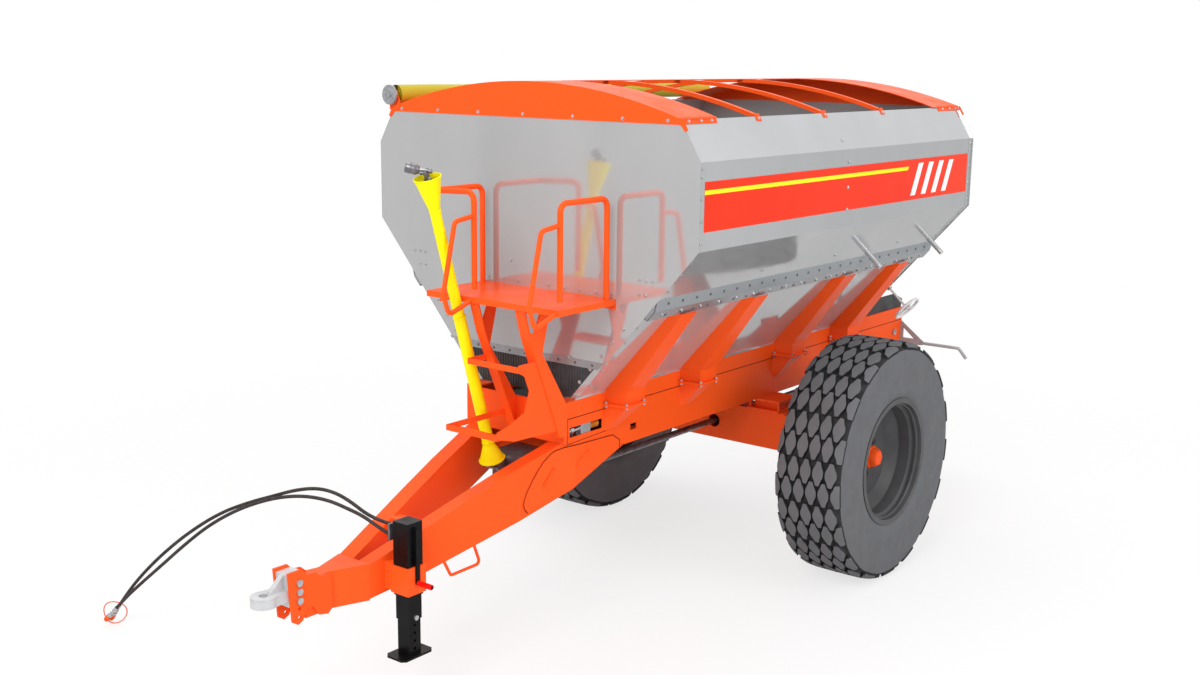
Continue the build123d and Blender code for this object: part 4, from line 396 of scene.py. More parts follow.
def heads_tree():
    """Copies of one shape on marked points, each standing along the mark's own direction."""
    inputs = [
        ("Geometry", "NodeSocketGeometry"),
        ("Shape", "NodeSocketObject"),
        ("Finish", "NodeSocketMaterial"),
    ]
    tree, given, result = new_tree("Heads on marks", inputs)
    shape = add(tree, "GeometryNodeObjectInfo", links={"Object": (given, "Shape")})
    mark = add(tree, "GeometryNodeInputNamedAttribute", {"Name": MARK}, data_type="FLOAT_VECTOR")
    aim = add(tree, "FunctionNodeAlignRotationToVector", links={"Vector": (mark, "Attribute")}, axis="Z")
    return coated_copies(tree, given, result, (given, "Geometry"), shape, aim)


def run_tree(name, tree, carrier_points, values, marks=None, sharp=30.0):
    """Run a tree on a small carrier mesh and return the result as a plain object."""
    mesh = bpy.data.meshes.new(name)
    mesh.from_pydata([tuple(p) for p in carrier_points], [], [])
    if marks:
        attribute = mesh.attributes.new(MARK, "FLOAT_VECTOR", "POINT")
        attribute.data.foreach_set("vector", [v for mark in marks for v in mark])
    piece = bpy.data.objects.new(name, mesh)
    bpy.context.scene.collection.objects.link(piece)
    modifier = piece.modifiers.new(tree.name, "NODES")
    modifier.node_group = tree
    for item in tree.interface.items_tree:
        if item.item_type == "SOCKET" and item.in_out == "INPUT" and item.name in values:
            modifier[item.identifier] = values[item.name]
    settle(piece)
    if marks:
        piece.data.attributes.remove(piece.data.attributes[MARK])
    finish_shading(piece.data, sharp)
    return piece


def pattern_shape(name, points, faces):
    """Hidden source shape for a tree, removed once the copies are made."""
    mesh = bpy.data.meshes.new(name)
    mesh.from_pydata([tuple(p) for p in points], [], faces)
    shape = bpy.data.objects.new(name, mesh)
    bpy.context.scene.collection.objects.link(shape)
    return outward(shape)


def heads(name, places, shape_data, finish, slot):
    """Fastener heads on (place, direction) pairs of the fixed frame, as one piece."""
    shape = pattern_shape(name + "_shape", *shape_data)
    piece = run_tree(
        name,
        TREES["heads"],
        [p for p, _ in places],
        {"Shape": shape, "Finish": FINISH[finish]},
        [tuple(Vector(d).normalized()) for _, d in places],
    )
    bpy.data.objects.remove(shape)
    return placed(piece, "frame", slot)


def ring(name, shapes, count, phase, centre, finish, sharp=30.0):
    """Copies of joined shapes round the X axis through a centre, as one piece."""
    shape = pattern_shape(name + "_shape", *joined(shapes))
    values = {"Shape": shape, "Count": count, "Phase": phase, "Centre": tuple(centre), "Finish": FINISH[finish]}
    piece = run_tree(name, TREES["ring"], [(0, 0, 0)], values, sharp=sharp)
    bpy.data.objects.remove(shape)
    return piece


def hex_head(across, height, washer):
    """Hexagon head with a chamfered top on a washer, standing on the XY plane."""
    radius = across / math.sqrt(3)
    base = height * 0.18
    disc = lathe([(0, washer), (base, washer)], (0, 0, 0), UPRIGHT, 20)
    sides = [(base, radius), (height * 0.86, radius), (height, radius * 0.86)]
    return joined([disc, lathe(sides, (0, 0, 0), UPRIGHT, 6)])


def dome_head(radius, height):
    """Round button head standing on the XY plane."""
    rise = [(0, radius), (height * 0.35, radius), (height * 0.75, radius * 0.78), (height, radius * 0.35)]
    return lathe(rise, (0, 0, 0), UPRIGHT, 14)


UPRIGHT = (0, 0, 1)
TREES = {}
FINISH = {}

# Outer faces of the V beams run inwards by this much for each metre ahead of the front wall.
BEAM_SLOPE = (CHASSIS_X - 0.122) / 1.4
LAP_T = 0.0048
# Lap plate on each beam as (distance ahead of the front wall, height): the part along the beam, then the
# part along the chassis, the ribs pressed into it, and its rivets.
LAP_AHEAD = [
    (0.0, 1.216), (0.084, 1.216), (0.150, 1.208), (0.180, 1.196), (0.237, 1.155), (0.285, 1.100),
    (0.316, 1.058), (0.360, 0.988), (0.378, 0.938), (0.380, 0.915), (0.372, 0.892), (0.352, 0.866),
    (0.0, 0.964),
]
LAP_BEHIND = [(0.0, 0.964), (-0.43, 1.114), (-0.43, 1.160), (-0.36, 1.205), (0.0, 1.216)]
LAP_RIBS = [((0.216, 1.012), (0.160, 1.082), 0.024), ((-0.034, 1.092), (-0.125, 1.145), 0.024)]
LAP_RIVETS = [(0.021, 1.183), (-0.094, 1.187), (-0.195, 1.188), (-0.289, 1.186)]


# ---------------------------------------------------------------- settings
def colour_setting(name, description, value):
    """Colour of the settings from a hex value."""
    return bpy.props.FloatVectorProperty(
        name=name, description=description, subtype="COLOR", size=3, min=0, max=1, default=srgb(value)[:3]
    )


def length_setting(name, description, value, low, high):
    """Length of the settings with its range."""
    return bpy.props.FloatProperty(
        name=name, description=description, default=value, min=low, max=high, unit="LENGTH"
    )


class SPREADER_PG_finish(bpy.types.PropertyGroup):
    """Colours of the painted and plastic finishes."""

    paint: colour_setting("Chassis paint", "Powder coat on chassis and roof", "#FF5A1E")
    guard: colour_setting("Shaft guard", "Polyethylene of the shaft guards", "#FFF200")
    rubber: colour_setting("Tyre rubber", "Tyre compound", "#67686B")


class SPREADER_PG_tyre(bpy.types.PropertyGroup):
    """Sizes of the tyres' tread."""

    pairs: bpy.props.IntProperty(
        name="Lug row pairs", description="Pairs of lug rows round a tyre", default=17, min=8, max=30
    )
    lug_half_width: length_setting("Lug half width", "Across the tread", 0.0385, 0.02, 0.06)
    lug_half_length: length_setting("Lug half length", "Along the tread", 0.080, 0.04, 0.12)
    lug_height: length_setting("Lug height", "Above the carcass", 0.026, 0.01, 0.05)
    lug_pitch: length_setting("Lug pitch", "Between lugs across the tread", 0.09, 0.05, 0.15)


class SPREADER_PG_fittings(bpy.types.PropertyGroup):
    """Sizes of small fittings."""

    sheet_bolt: length_setting("Sheet bolt", "Across flats of the hopper's M10 bolts", 0.017, 0.008, 0.03)
    apron_rib: length_setting(
        "Apron rib pitch", "Between ribs of the rubber apron, drawn coarse enough to show", 0.021, 0.01, 0.05
    )
    hose_diameter: length_setting("Hose diameter", "Outside diameter of the hydraulic hoses", 0.02, 0.01, 0.04)


class SPREADER_PG_stage(bpy.types.PropertyGroup):
    """Studio floor and camera."""

    floor: colour_setting("Floor", "Studio floor", "#F4F4F4")
    lens: bpy.props.FloatProperty(
        name="Lens", description="Focal length", default=41.63, min=10, max=200, unit="CAMERA"
    )
    place: bpy.props.FloatVectorProperty(
        name="Camera place", description="Where the camera stands", subtype="TRANSLATION", size=3,
        default=(5.4685, -7.4299, 3.4908),
    )


# ---------------------------------------------------------------- finishes
# Each row: name that pieces use, material name, colour, shader values, then where a finish has them the
# colour drift (low, high, scale, stretch), the roughness drift (the same) and the grain (scale, distance,
# strength, stretch).
FINISHES = (
    # Austenitic stainless sheet, cold rolled and lightly polished: pale grey, mirrors its neighbours softly.
    (
        "stainless", "Rolled stainless sheet", "#C0C2C3", {"Metallic": 0.55, "Roughness": 0.1},
        ("#BABCBD", "#C7C8C9", 1.1, (1, 1, 0.35)), (0.05, 0.13, 2.3, (1, 1, 0.3)),
        (1.4, 0.006, 0.12, (1, 1, 0.6)),
    ),
    # The same sheet folded and handled: duller, with more fine scratches along its length.
    (
        "strip", "Folded stainless strip", "#9FA3A6", {"Metallic": 0.5, "Roughness": 0.3},
        ("#989C9F", "#A8ACAF", 3.0, (1, 0.3, 1)), (0.2, 0.3, 3.0, (1, 0.3, 1)),
        (30.0, 0.0002, 0.1, (1, 0.05, 1)),
    ),
    # Polyester powder coat on blasted steel: even strong colour, satin gloss, faint orange peel.
    (
        "paint", "Polyester powder coat", "#FF5A1E", {"Roughness": 0.36, "Specular_IOR_Level": 0.1},
        None, (0.28, 0.42, 6.0), (240.0, 0.0004, 0.18),
    ),
    # Sulphur-cured carbon black rubber, new from its mould: dull dark grey with a faint bloom.
    (
        "tyre", "Cured tyre rubber", "#58595B", {"Roughness": 0.62},
        None, (0.52, 0.72, 16.0), (180.0, 0.0008, 0.3),
    ),
    # The same rubber deep between the lugs and on the lug walls, painted almost black as painted shade.
    (
        "groove_shade", "Groove rubber in painted shade", "#303032", {"Roughness": 0.8},
        ("#29292B", "#39393B", 9.0), None, (160.0, 0.0006, 0.3),
    ),
    # Stoved enamel on pressed steel rims: near black, half dull.
    (
        "rim", "Stoved rim enamel", "#545456", {"Roughness": 0.42},
        ("#4E4E50", "#5A5A5C", 5.0), (0.3, 0.45, 9.0), (200.0, 0.0003, 0.15),
    ),
    # Black chassis enamel on the jack: deep black, a little orange peel.
    (
        "black", "Black jack enamel", "#0B0B0C", {"Roughness": 0.42},
        ("#080809", "#121214", 9.0), (0.24, 0.42, 12.0), (220.0, 0.0004, 0.2),
    ),
    # Hot-dip galvanised steel: cool grey, its spangle crystals added below.
    (
        "galvanised", "Hot-dip galvanised steel", "#9C9EA0", {"Metallic": 0.7, "Roughness": 0.4},
        None, (0.32, 0.5, 30.0), None,
    ),
    # Grey zinc-rich primer on the rear brackets: flat mid grey.
    (
        "primer", "Zinc-rich primer", "#ABACAE", {"Roughness": 0.5},
        ("#A3A4A6", "#B4B5B7", 14.0), None, (200.0, 0.0004, 0.25),
    ),
    # White enamel on the handwheel: bright, satin.
    (
        "white", "White wheel enamel", "#E4E4E6", {"Roughness": 0.4},
        ("#DCDCDE", "#ECECEE", 14.0), None, (220.0, 0.0003, 0.2),
    ),
    # Dark brown-black, matt strips painted as the shadow lines at the panel joints.
    ("joint_shade", "Painted joint shadow", "#4A1406", {"Roughness": 0.7}, ("#401004", "#55190A", 12.0), None, None),
    # Vinyl films laid on the side sheets: flat strong colours, glossy, edges crisp.
    ("film_white", "White vinyl film", "#F6F6F6", {"Roughness": 0.34}, ("#F0F0F0", "#FAFAFA", 1.2), None, None),
    ("film", "Red-orange vinyl film", "#F23413", {"Roughness": 0.34}, ("#EE3010", "#F63A16", 1.2), None, None),
    (
        "film_yellow", "Yellow vinyl film", "#FFEF1E", {"Roughness": 0.34},
        ("#FBE914", "#FFF336", 1.2), None, None,
    ),
    # Bright zinc plate on fasteners: light, slightly blue, satin.
    (
        "zinc", "Bright zinc plate", "#C9CCCF", {"Metallic": 0.85, "Roughness": 0.26},
        ("#B7BABE", "#D6D8DA", 60.0), None, (400.0, 0.0002, 0.3),
    ),
    # Yellow passivated zinc on the tensioner springs: amber, satin.
    (
        "amber", "Yellow passivated zinc", "#D08420", {"Metallic": 0.3, "Roughness": 0.36},
        ("#C0741A", "#DE962C", 30.0), None, None,
    ),
    # Passivated steel rivets: dark grey, dull.
    (
        "rivet", "Passivated rivet steel", "#5A5D60", {"Metallic": 0.5, "Roughness": 0.42},
        ("#505356", "#66696C", 60.0), None, None,
    ),
    # Forged and machined steel of the drive joint: mid grey, oily sheen.
    (
        "forged", "Forged joint steel", "#7C7A7E", {"Metallic": 0.75, "Roughness": 0.36},
        ("#6A686C", "#8E8C90", 24.0), (0.28, 0.48, 30.0), (150.0, 0.0005, 0.35),
    ),
    # Cast steel tow eye under a light grey primer: soft grain, pale.
    (
        "cast", "Primed cast steel", "#C9CACC", {"Metallic": 0.35, "Roughness": 0.42},
        ("#BDBEC1", "#D3D4D6", 9.0), None, (160.0, 0.0008, 0.35),
    ),
    # Polyethylene shaft guard, extruded and blow moulded: strong yellow, waxy.
    (
        "guard", "Moulded polyethylene", "#FFF200", {"Roughness": 0.42, "Subsurface_Weight": 0.06},
        None, None, (120.0, 0.0003, 0.2),
    ),
    # Red vinyl grip over the crank pin: glossy and soft looking.
    (
        "grip", "Dipped red vinyl", "#F0100A", {"Roughness": 0.34},
        ("#E50D08", "#F8140D", 20.0), None, (300.0, 0.0003, 0.2),
    ),
    # Nitrile-covered hydraulic hose: charcoal, with a coarse matt grain.
    (
        "hose", "Hydraulic hose cover", "#3A3434", {"Roughness": 0.55},
        ("#332E2E", "#443D3C", 30.0), None, (200.0, 0.001, 0.5),
    ),
    # Ribbed belt rubber: dull black-grey.
    (
        "belt", "Belt rubber", "#4A4B4C", {"Roughness": 0.68},
        ("#404142", "#545556", 8.0), None, (140.0, 0.0008, 0.4),
    ),
    # PVC coated tarpaulin: olive yellow, thin enough to glow, its woven scrim added below.
    (
        "tarp", "Coated tarpaulin", "#CDBB32", {"Roughness": 0.5, "Transmission_Weight": 0.08},
        ("#BFAE2A", "#DACB4A", 3.0, (1, 0.3, 1)), None, None,
    ),
    # Acetal caps and tether on the couplers: orange, waxy.
    (
        "cap", "Orange coupler cap", "#EE5A22", {"Roughness": 0.42},
        ("#E35018", "#F5682E", 40.0), None, (260.0, 0.0003, 0.2),
    ),
)


def make_finishes(settings):
    """All materials, by the name that pieces use for them."""
    shaders = {}
    for key, name, colour, values, drift, roughness, grain in FINISHES:
        FINISH[key], *shaders[key] = start_finish(name, colour, **values)
        for change, amounts in ((vary_colour, drift), (vary_roughness, roughness), (raise_grain, grain)):
            if amounts:
                change(*shaders[key], *amounts)
    drift_round(*shaders["paint"], settings.paint, 1.6, 5.0, 0.93, 1.04)
    drift_round(*shaders["tyre"], settings.rubber, 7.0, 6.0, 0.82, 1.12)
    drift_round(*shaders["guard"], settings.guard, 5.0, 3.0, 0.95, 1.03)
    shaders["guard"][1].inputs["Subsurface Radius"].default_value = (0.01, 0.01, 0.002)

    # Spangle crystals about 12 mm across.
    tree, shader, coords = shaders["galvanised"]
    cells = add(
        tree, "ShaderNodeTexVoronoi", {"Scale": 80.0, "Randomness": 1.0}, {"Vector": (coords, "Object")}
    )
    colour_ramp(tree, shader, (cells, "Color"), ((0.0, "#8A8C90"), (1.0, "#B4B6B9")))

    # Woven scrim every 3 mm.
    tree, shader, coords = shaders["tarp"]
    weave = add(
        tree, "ShaderNodeTexWave", {"Scale": 105.0}, {"Vector": (coords, "Object")}, bands_direction="Y"
    )
    raise_height(tree, shader, weave, 0.0006, 0.25)


NODE_FINISH = {
    "stainless": "hopper_front_wall hopper_rear_wall hopper_side_left hopper_side_right feed_gate "
    "spinner_disc_left spinner_disc_right",
    "strip": "ledge_rails",
    "paint": "side_braces chassis_left chassis_right chassis_crossmembers axle_beam axle_clamps drawbar_left "
    "drawbar_right drawbar_nose jack_sleeve platform railings ladder_stringers ladder_steps spinner_gearbox "
    "hitch_plates roof_bows front_cap rear_cap",
    "rim": "rim_left rim_right hub_left hub_right",
    "tyre": "tyre_left tyre_right",
    "black": "jack_outer_tube jack_inner_tube jack_drop_leg jack_crank",
    "galvanised": "tarp_tube",
    "primer": "rear_brackets",
    "white": "handwheel",
    "zinc": "fasteners jack_pin belt_tensioners front_roller rear_roller",
    "forged": "gearbox pto_joint pto_yoke drive_shaft hose_couplers",
    "cast": "tow_eye",
    "guard": "pto_guard_lower pto_guard_upper",
    "grip": "jack_grip",
    "belt": "conveyor_belt belt_seals",
    "tarp": "tarp_roll",
    "hose": "hose_upper hose_lower",
    "cap": "coupler_caps",
}


class SPREADER_OT_finishes(bpy.types.Operator):
    """Make every material and put it on the CAD nodes"""

    bl_idname = "spreader.finishes"
    bl_label = "Finishes"

    def execute(self, context):
        make_finishes(context.scene.spreader_finish)
        TREES["ring"] = ring_tree()
        TREES["heads"] = heads_tree()
        covered = set()
        for finish, names in NODE_FINISH.items():
            for name in names.split():
                node = frame["nodes"][name]
                covered.add(name)
                for slot in node.material_slots:
                    slot.material = FINISH[finish]
        missing = set(frame["nodes"]) - covered
        if missing:
            raise RuntimeError(f"nodes with no finish: {sorted(missing)}")
        return {"FINISHED"}


# ---------------------------------------------------------------- stage
WHITE = (1, 1, 1, 1)
# Lamps as name, place, width and power, all aimed at the middle of the machine.
LAMPS = (
    ("key", (3.0, -11.0, 9.0), 6.0, 820.0),
    ("side", (11.0, 0.5, 6.5), 6.0, 380.0),
    ("top", (-3.0, 1.0, 12.0), 7.0, 420.0),
)
LAMP_AIM = Vector((0, 0, 1.4))
# Camera angles in radians: turn about the upright, tilt below the horizon, and roll.
CAMERA_HEADING, CAMERA_DIP, CAMERA_ROLL = 0.6708, 0.1999, 0.0119


class SPREADER_OT_stage(bpy.types.Operator):
    """Pale studio floor, soft lamps and the camera"""

    bl_idname = "spreader.stage"
    bl_label = "Stage"

    def execute(self, context):
        stage = context.scene.spreader_stage
        self.floor(stage)
        self.world(context)
        for name, place, width, power in LAMPS:
            lamp = bpy.data.lights.new(name, "AREA")
            lamp.shape = "SQUARE"
            lamp.size = width
            lamp.energy = power
            holder = bpy.data.objects.new(name, lamp)
            holder.location = place
            aim = LAMP_AIM - Vector(place)
            holder.rotation_euler = aim.to_track_quat("-Z", "Y").to_euler()
            context.scene.collection.objects.link(holder)

        camera = bpy.data.cameras.new("camera")
        camera.lens = stage.lens
        camera.sensor_width = 36.0
        camera.clip_end = 500.0
        holder = bpy.data.objects.new("camera", camera)
        turn = Matrix.Rotation(CAMERA_HEADING, 4, "Z") @ Matrix.Rotation(math.pi / 2 - CAMERA_DIP, 4, "X")
        turn = turn @ Matrix.Rotation(CAMERA_ROLL, 4, "Z")
        holder.matrix_world = Matrix.Translation(Vector(stage.place)) @ turn
        context.scene.collection.objects.link(holder)
        context.scene.camera = holder
        context.scene.view_settings.view_transform = "Standard"
        return {"FINISHED"}

    def floor(self, stage):
        """Floor that is paper white to the eye, a little less so to mirrors, and keeps a soft shadow."""
        size = 120.0
        points = [(-size, -size, 0), (size, -size, 0), (size, size, 0), (-size, size, 0)]
        material = bpy.data.materials.new("Seamless studio floor")
        material.use_nodes = True
        tree = material.node_tree
        tree.nodes.clear()
        path = add(tree, "ShaderNodeLightPath")
        glossy = path.outputs["Is Glossy Ray"]
        seen = math_node(tree, "MAXIMUM", path.outputs["Is Camera Ray"], glossy)
        where = add(tree, "ShaderNodeTexCoord")
        reach = add(tree, "ShaderNodeVectorMath", links={"Vector": (where, "Object")}, operation="LENGTH")
        fade = add(
            tree,
            "ShaderNodeMapRange",
            {"From Min": 2.5, "From Max": 8.0, "To Min": 0.72, "To Max": 1.0},
            {"Value": (reach, "Value")},
            interpolation_type="SMOOTHSTEP",
        )
        share = math_node(tree, "MULTIPLY", seen, fade.outputs[0])
        plain = add(tree, "ShaderNodeBsdfDiffuse", {"Color": [*stage.floor, 1]})
        mirrored = add(
            tree, "ShaderNodeMapRange", {"To Min": 1.0, "To Max": 0.62}, {"Value": (path, "Is Glossy Ray")}
        )
        glow = add(tree, "ShaderNodeEmission", {"Color": WHITE}, {"Strength": (mirrored, 0)})
        blend = mix_shaders(tree, share, plain, glow)
        add(tree, "ShaderNodeOutputMaterial", links={"Surface": (blend, 0)})
        floor = mesh_piece("studio_floor", points, [(0, 1, 2, 3)], material)

    def world(self, context):
        """White backdrop that lights softly."""
        world = bpy.data.worlds.new("Studio")
        context.scene.world = world
        world.use_nodes = True
        tree = world.node_tree
        tree.nodes.clear()
        path = add(tree, "ShaderNodeLightPath")
        seen = math_node(tree, "MAXIMUM", path.outputs["Is Camera Ray"], path.outputs["Is Glossy Ray"])
        seen = math_node(tree, "MAXIMUM", seen, path.outputs["Is Transmission Ray"])
        soft = add(tree, "ShaderNodeBackground", {"Color": WHITE, "Strength": 0.68})
        white = add(tree, "ShaderNodeBackground", {"Color": WHITE, "Strength": 1.0})
        blend = mix_shaders(tree, seen, soft, white)
        add(tree, "ShaderNodeOutputWorld", links={"Surface": (blend, 0)})


# ---------------------------------------------------------------- hoses
# Control points of each hose as x, distance behind the front wall, and height.
HOSE_ROUTES = {
    "hose_upper": [
        (0.170, -1.262, 1.000), (0.090, -1.275, 1.006), (-0.005, -1.299, 1.032), (-0.100, -1.322, 1.086),
        (-0.205, -1.344, 1.124), (-0.330, -1.369, 1.130), (-0.480, -1.399, 1.094), (-0.640, -1.431, 1.032),
        (-0.810, -1.466, 0.968), (-1.020, -1.508, 0.872), (-1.250, -1.554, 0.722), (-1.455, -1.596, 0.560),
        (-1.640, -1.633, 0.390), (-1.785, -1.662, 0.232), (-1.868, -1.679, 0.122),
    ],
    "hose_lower": [
        (0.170, -1.292, 0.955), (0.105, -1.312, 0.985), (0.015, -1.338, 1.034), (-0.090, -1.361, 1.062),
        (-0.215, -1.386, 1.088), (-0.365, -1.417, 1.088), (-0.525, -1.449, 1.058), (-0.695, -1.483, 1.000),
        (-0.890, -1.523, 0.908), (-1.090, -1.563, 0.782), (-1.280, -1.602, 0.628), (-1.450, -1.636, 0.480),
        (-1.620, -1.670, 0.335), (-1.760, -1.698, 0.210), (-1.845, -1.716, 0.122),
    ],
}


def spline_length(curve_object):
    """Length of a curve object's centre line, read from its unbevelled mesh."""
    depth = curve_object.data.bevel_depth
    curve_object.data.bevel_depth = 0
    graph = bpy.context.evaluated_depsgraph_get()
    graph.update()
    line = bpy.data.meshes.new_from_object(curve_object.evaluated_get(graph))
    places = [v.co.copy() for v in line.vertices]
    bpy.data.meshes.remove(line)
    curve_object.data.bevel_depth = depth
    return sum((b - a).length for a, b in zip(places, places[1:]))


# Ferrule, hexagon and knurled sleeve of a quick coupler, its dust cap, and the stub at a hose's start.
COUPLER = [
    (-0.018, 0.0125), (0.024, 0.0125), (0.026, 0.0105), (0.030, 0.0105), (0.031, 0.0150), (0.046, 0.0150),
    (0.047, 0.0125), (0.050, 0.0125), (0.051, 0.0160), (0.076, 0.0160), (0.078, 0.0145),
]
DUST_CAP = [
    (0.078, 0.0155), (0.080, 0.0175), (0.112, 0.0175), (0.116, 0.0150), (0.122, 0.0150), (0.124, 0.0120),
]
STUB = [(0.0, 0.0115), (0.010, 0.0115), (0.011, 0.0150), (0.020, 0.0150)]


class SPREADER_OT_hoses(bpy.types.Operator):
    """Two hydraulic hoses with their couplers, caps and cap tether"""

    bl_idname = "spreader.hoses"
    bl_label = "Hoses"

    def execute(self, context):
        diameter = context.scene.spreader_fittings.hose_diameter
        hoses = []
        for name, points in HOSE_ROUTES.items():
            route = [(x, FRONT_Y + distance, z) for x, distance, z in points]
            hoses.append((name.split("_")[1], route, self.hose(context, name, route, diameter)))
        stubs = []
        for side, route, piece in hoses:
            start, last = route[0], Vector(route[-1])
            along = (last - Vector(route[-2])).normalized()
            # Quick coupler and dust cap on the hose's end.
            shape = lathe(COUPLER, last, along, 24)
            extra = [closed_piece(f"coupler_{side}", [shape], "zinc", "frame", "coupler_steel")]
            shape = lathe(DUST_CAP, last, along, 24)
            extra.append(closed_piece(f"dust_cap_{side}", [shape], "cap", "frame", "cap_orange"))
            if side == "upper":
                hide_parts("coupler_caps")
                extra.append(self.tether(last, along))
            spline_length(piece)
            stubs.append(lathe(STUB, start, Vector(start) - Vector(route[1]), 6))
        # Bulkhead block and stub fittings where the hoses leave the jack.
        jack_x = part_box("jack_outer_tube")[0][0]
        plate = block((0.182, FRONT_Y - 1.317, 0.930), (0.196, FRONT_Y - 1.235, 1.024))
        foot = block((0.196, FRONT_Y - 1.275, 0.930), (jack_x, FRONT_Y - 1.235, 1.024))
        anchor = outward(mesh_piece("hose_anchor", *joined([*stubs, plate, foot]), FINISH["forged"]))
        softened(anchor, 0.001, 1)
        placed(anchor, "frame", "coupler_steel", "hose_couplers")
        return {"FINISHED"}

    def hose(self, context, name, route, diameter):
        """Bevelled curve along a route."""
        curve = bpy.data.curves.new(name + "_line", "CURVE")
        curve.dimensions = "3D"
        curve.resolution_u = 12
        curve.bevel_resolution = 5
        curve.use_fill_caps = True
        # The bevel is one metre scaled by each point's radius, so the curve's box is no wider than the hose.
        curve.bevel_depth = 1.0
        spline = curve.splines.new("NURBS")
        spline.points.add(len(route) - 1)
        for point, place in zip(spline.points, route):
            point.co = (*place, 1)
            point.radius = diameter / 2
        spline.order_u = 3
        spline.use_endpoint_u = True
        curve.materials.append(FINISH["hose"])
        piece = bpy.data.objects.new(name + "_line", curve)
        context.scene.collection.objects.link(piece)
        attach(piece, "frame")
        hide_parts(name)
        return piece

    def tether(self, last, along):
        """Cord that hangs from the cap in an upright loop that just clears the ground."""
        across = Vector((0.784, 0.621, 0))
        away = Vector((-across.y, across.x, 0))
        middle = last + along * 0.06 + Vector((0, 0, 0.005))
        middle.z = max(middle.z, 0.078)
        loop = []
        for k in range(45):
            turn = math.tau * k / 44
            spot = middle + across * 0.072 * math.cos(turn) + Vector((0, 0, 0.070 * math.sin(turn)))
            loop.append(spot + away * 0.012 * math.cos(2 * turn))
        return closed_piece("cap_tether", [tube(loop, 0.0034, 10)], "cap", "frame", "cap_orange")


# ---------------------------------------------------------------- wheels
TYRE_HALF = 0.2369
# Radius of the lug tops by distance from the tyre's middle.
CROWN = [(0, 0.820), (0.15, 0.8185), (0.19, 0.8145), (0.213, 0.807), (0.228, 0.798), (TYRE_HALF, 0.788)]


def tread_top(x):
    """Radius of the lug tops at a distance from the tyre's middle."""
    x = abs(x)
    for (x0, r0), (x1, r1) in zip(CROWN, CROWN[1:]):
        if x <= x1:
            return r0 + (r1 - r0) * (x - x0) / (x1 - x0)
    return CROWN[-1][1]


LUG_SHAPE = [
    (-1.0, 0.2), (-0.95, 0.36), (-0.76, 0.48), (-0.55, 0.64), (-0.36, 0.86), (-0.18, 0.98), (0.0, 1.0),
    (0.18, 0.98), (0.36, 0.86), (0.55, 0.64), (0.76, 0.48), (0.95, 0.36), (1.0, 0.2),
]
# The top layer of each lug in the plain tyre rubber, over a block in painted shade that reaches down to the
# ring of painted shade between the lugs.
PAD_DEPTH = 0.004


def tread_lug(middle, settings, sunk, depth, flare):
    """One diamond slab about the X axis: a curved top, and walls that flare as they go down."""
    points, faces = [], []
    lateral = [-1, -0.5, 0, 0.5, 1]
    limit = TYRE_HALF - sunk * 0.2
    rows = []
    for along, share in LUG_SHAPE:
        turn = along * settings.lug_half_length / 0.82
        row = []
        for across in lateral:
            x = middle + across * share * settings.lug_half_width
            x = max(-limit, min(limit, x))
            radius = tread_top(x) - sunk
            row.append(len(points))
            points.append((x, -radius * math.sin(turn), radius * math.cos(turn)))
        rows.append(row)
    for a, b in zip(rows, rows[1:]):
        for i in range(len(lateral) - 1):
            faces.append((a[i], a[i + 1], b[i + 1], b[i]))
    rim = rows[0] + [row[-1] for row in rows[1:-1]] + rows[-1][::-1] + [row[0] for row in rows[-2:0:-1]]
    base = []
    for index in rim:
        x, y, z = points[index]
        radius = math.hypot(y, z)
        turn = math.atan2(-y, z)
        low_x = max(-limit, min(limit, middle + (x - middle) * flare))
        low_turn = turn * flare
        low_radius = radius - depth
        base.append(len(points))
        points.append((low_x, -low_radius * math.sin(low_turn), low_radius * math.cos(low_turn)))
    for i in range(len(rim)):
        j = (i + 1) % len(rim)
        faces.append((rim[i], rim[j], base[j], base[i]))
    faces.append(tuple(base))
    return points, faces


CARCASS = [
    (0.0, 0.7895), (0.10, 0.789), (0.16, 0.787), (0.195, 0.784), (0.216, 0.778), (0.2318, 0.771),
    (0.2354, 0.769), (0.2369, 0.764), (0.2369, 0.700), (0.2364, 0.699), (0.2364, 0.696), (0.2369, 0.695),
    (0.2369, 0.560), (0.2363, 0.559), (0.2363, 0.555), (0.2366, 0.554), (0.2358, 0.500), (0.2335, 0.478),
    (0.2325, 0.472), (0.2285, 0.462), (0.2200, 0.448), (0.2145, 0.4375), (0.2140, 0.4155), (0.186, 0.4155),
    (0.186, 0.443), (0.209, 0.565), (0.209, 0.725), (0.177, 0.762), (0.0, 0.763),
]
# Thin ring of painted shade over the carcass, as the dark floor between the lugs.
GROOVE_FLOOR = [
    (0.0, 0.7903), (0.10, 0.7898), (0.16, 0.7878), (0.195, 0.7848), (0.216, 0.7788), (0.2340, 0.7712)
]
# Rows of lugs as name, share of a pitch round the tyre, and places across it in pitches.
LUG_ROWS = (
    ("even", 0.0, (-2, -1, 0, 1, 2)),
    ("odd", 0.46, (-2.5, -1.5, -0.5, 0.5, 1.5, 2.5)),
)
HUB_BARREL = [
    (-0.174, 0.048), (-0.174, 0.090), (-0.170, 0.095), (-0.030, 0.095), (-0.027, 0.148), (-0.013, 0.148),
    (-0.012, 0.0875), (0.020, 0.0875), (0.022, 0.080),
]
HUB_CAP = [(0.020, 0.084), (0.052, 0.084), (0.060, 0.074), (0.094, 0.062), (0.106, 0.050), (0.1075, 0.030)]
# Rolled step of the rim barrel, which shows as a ring from outside, and where the steps end.
RIM_STEP = [(0, 0), (0, -0.008), (-0.006, -0.014), (-0.016, -0.014), (-0.022, -0.008), (-0.022, 0)]
RIM_STEPS_AT = (0.196, 0.150, 0.104, 0.058)
RIM_BORE = 0.4025
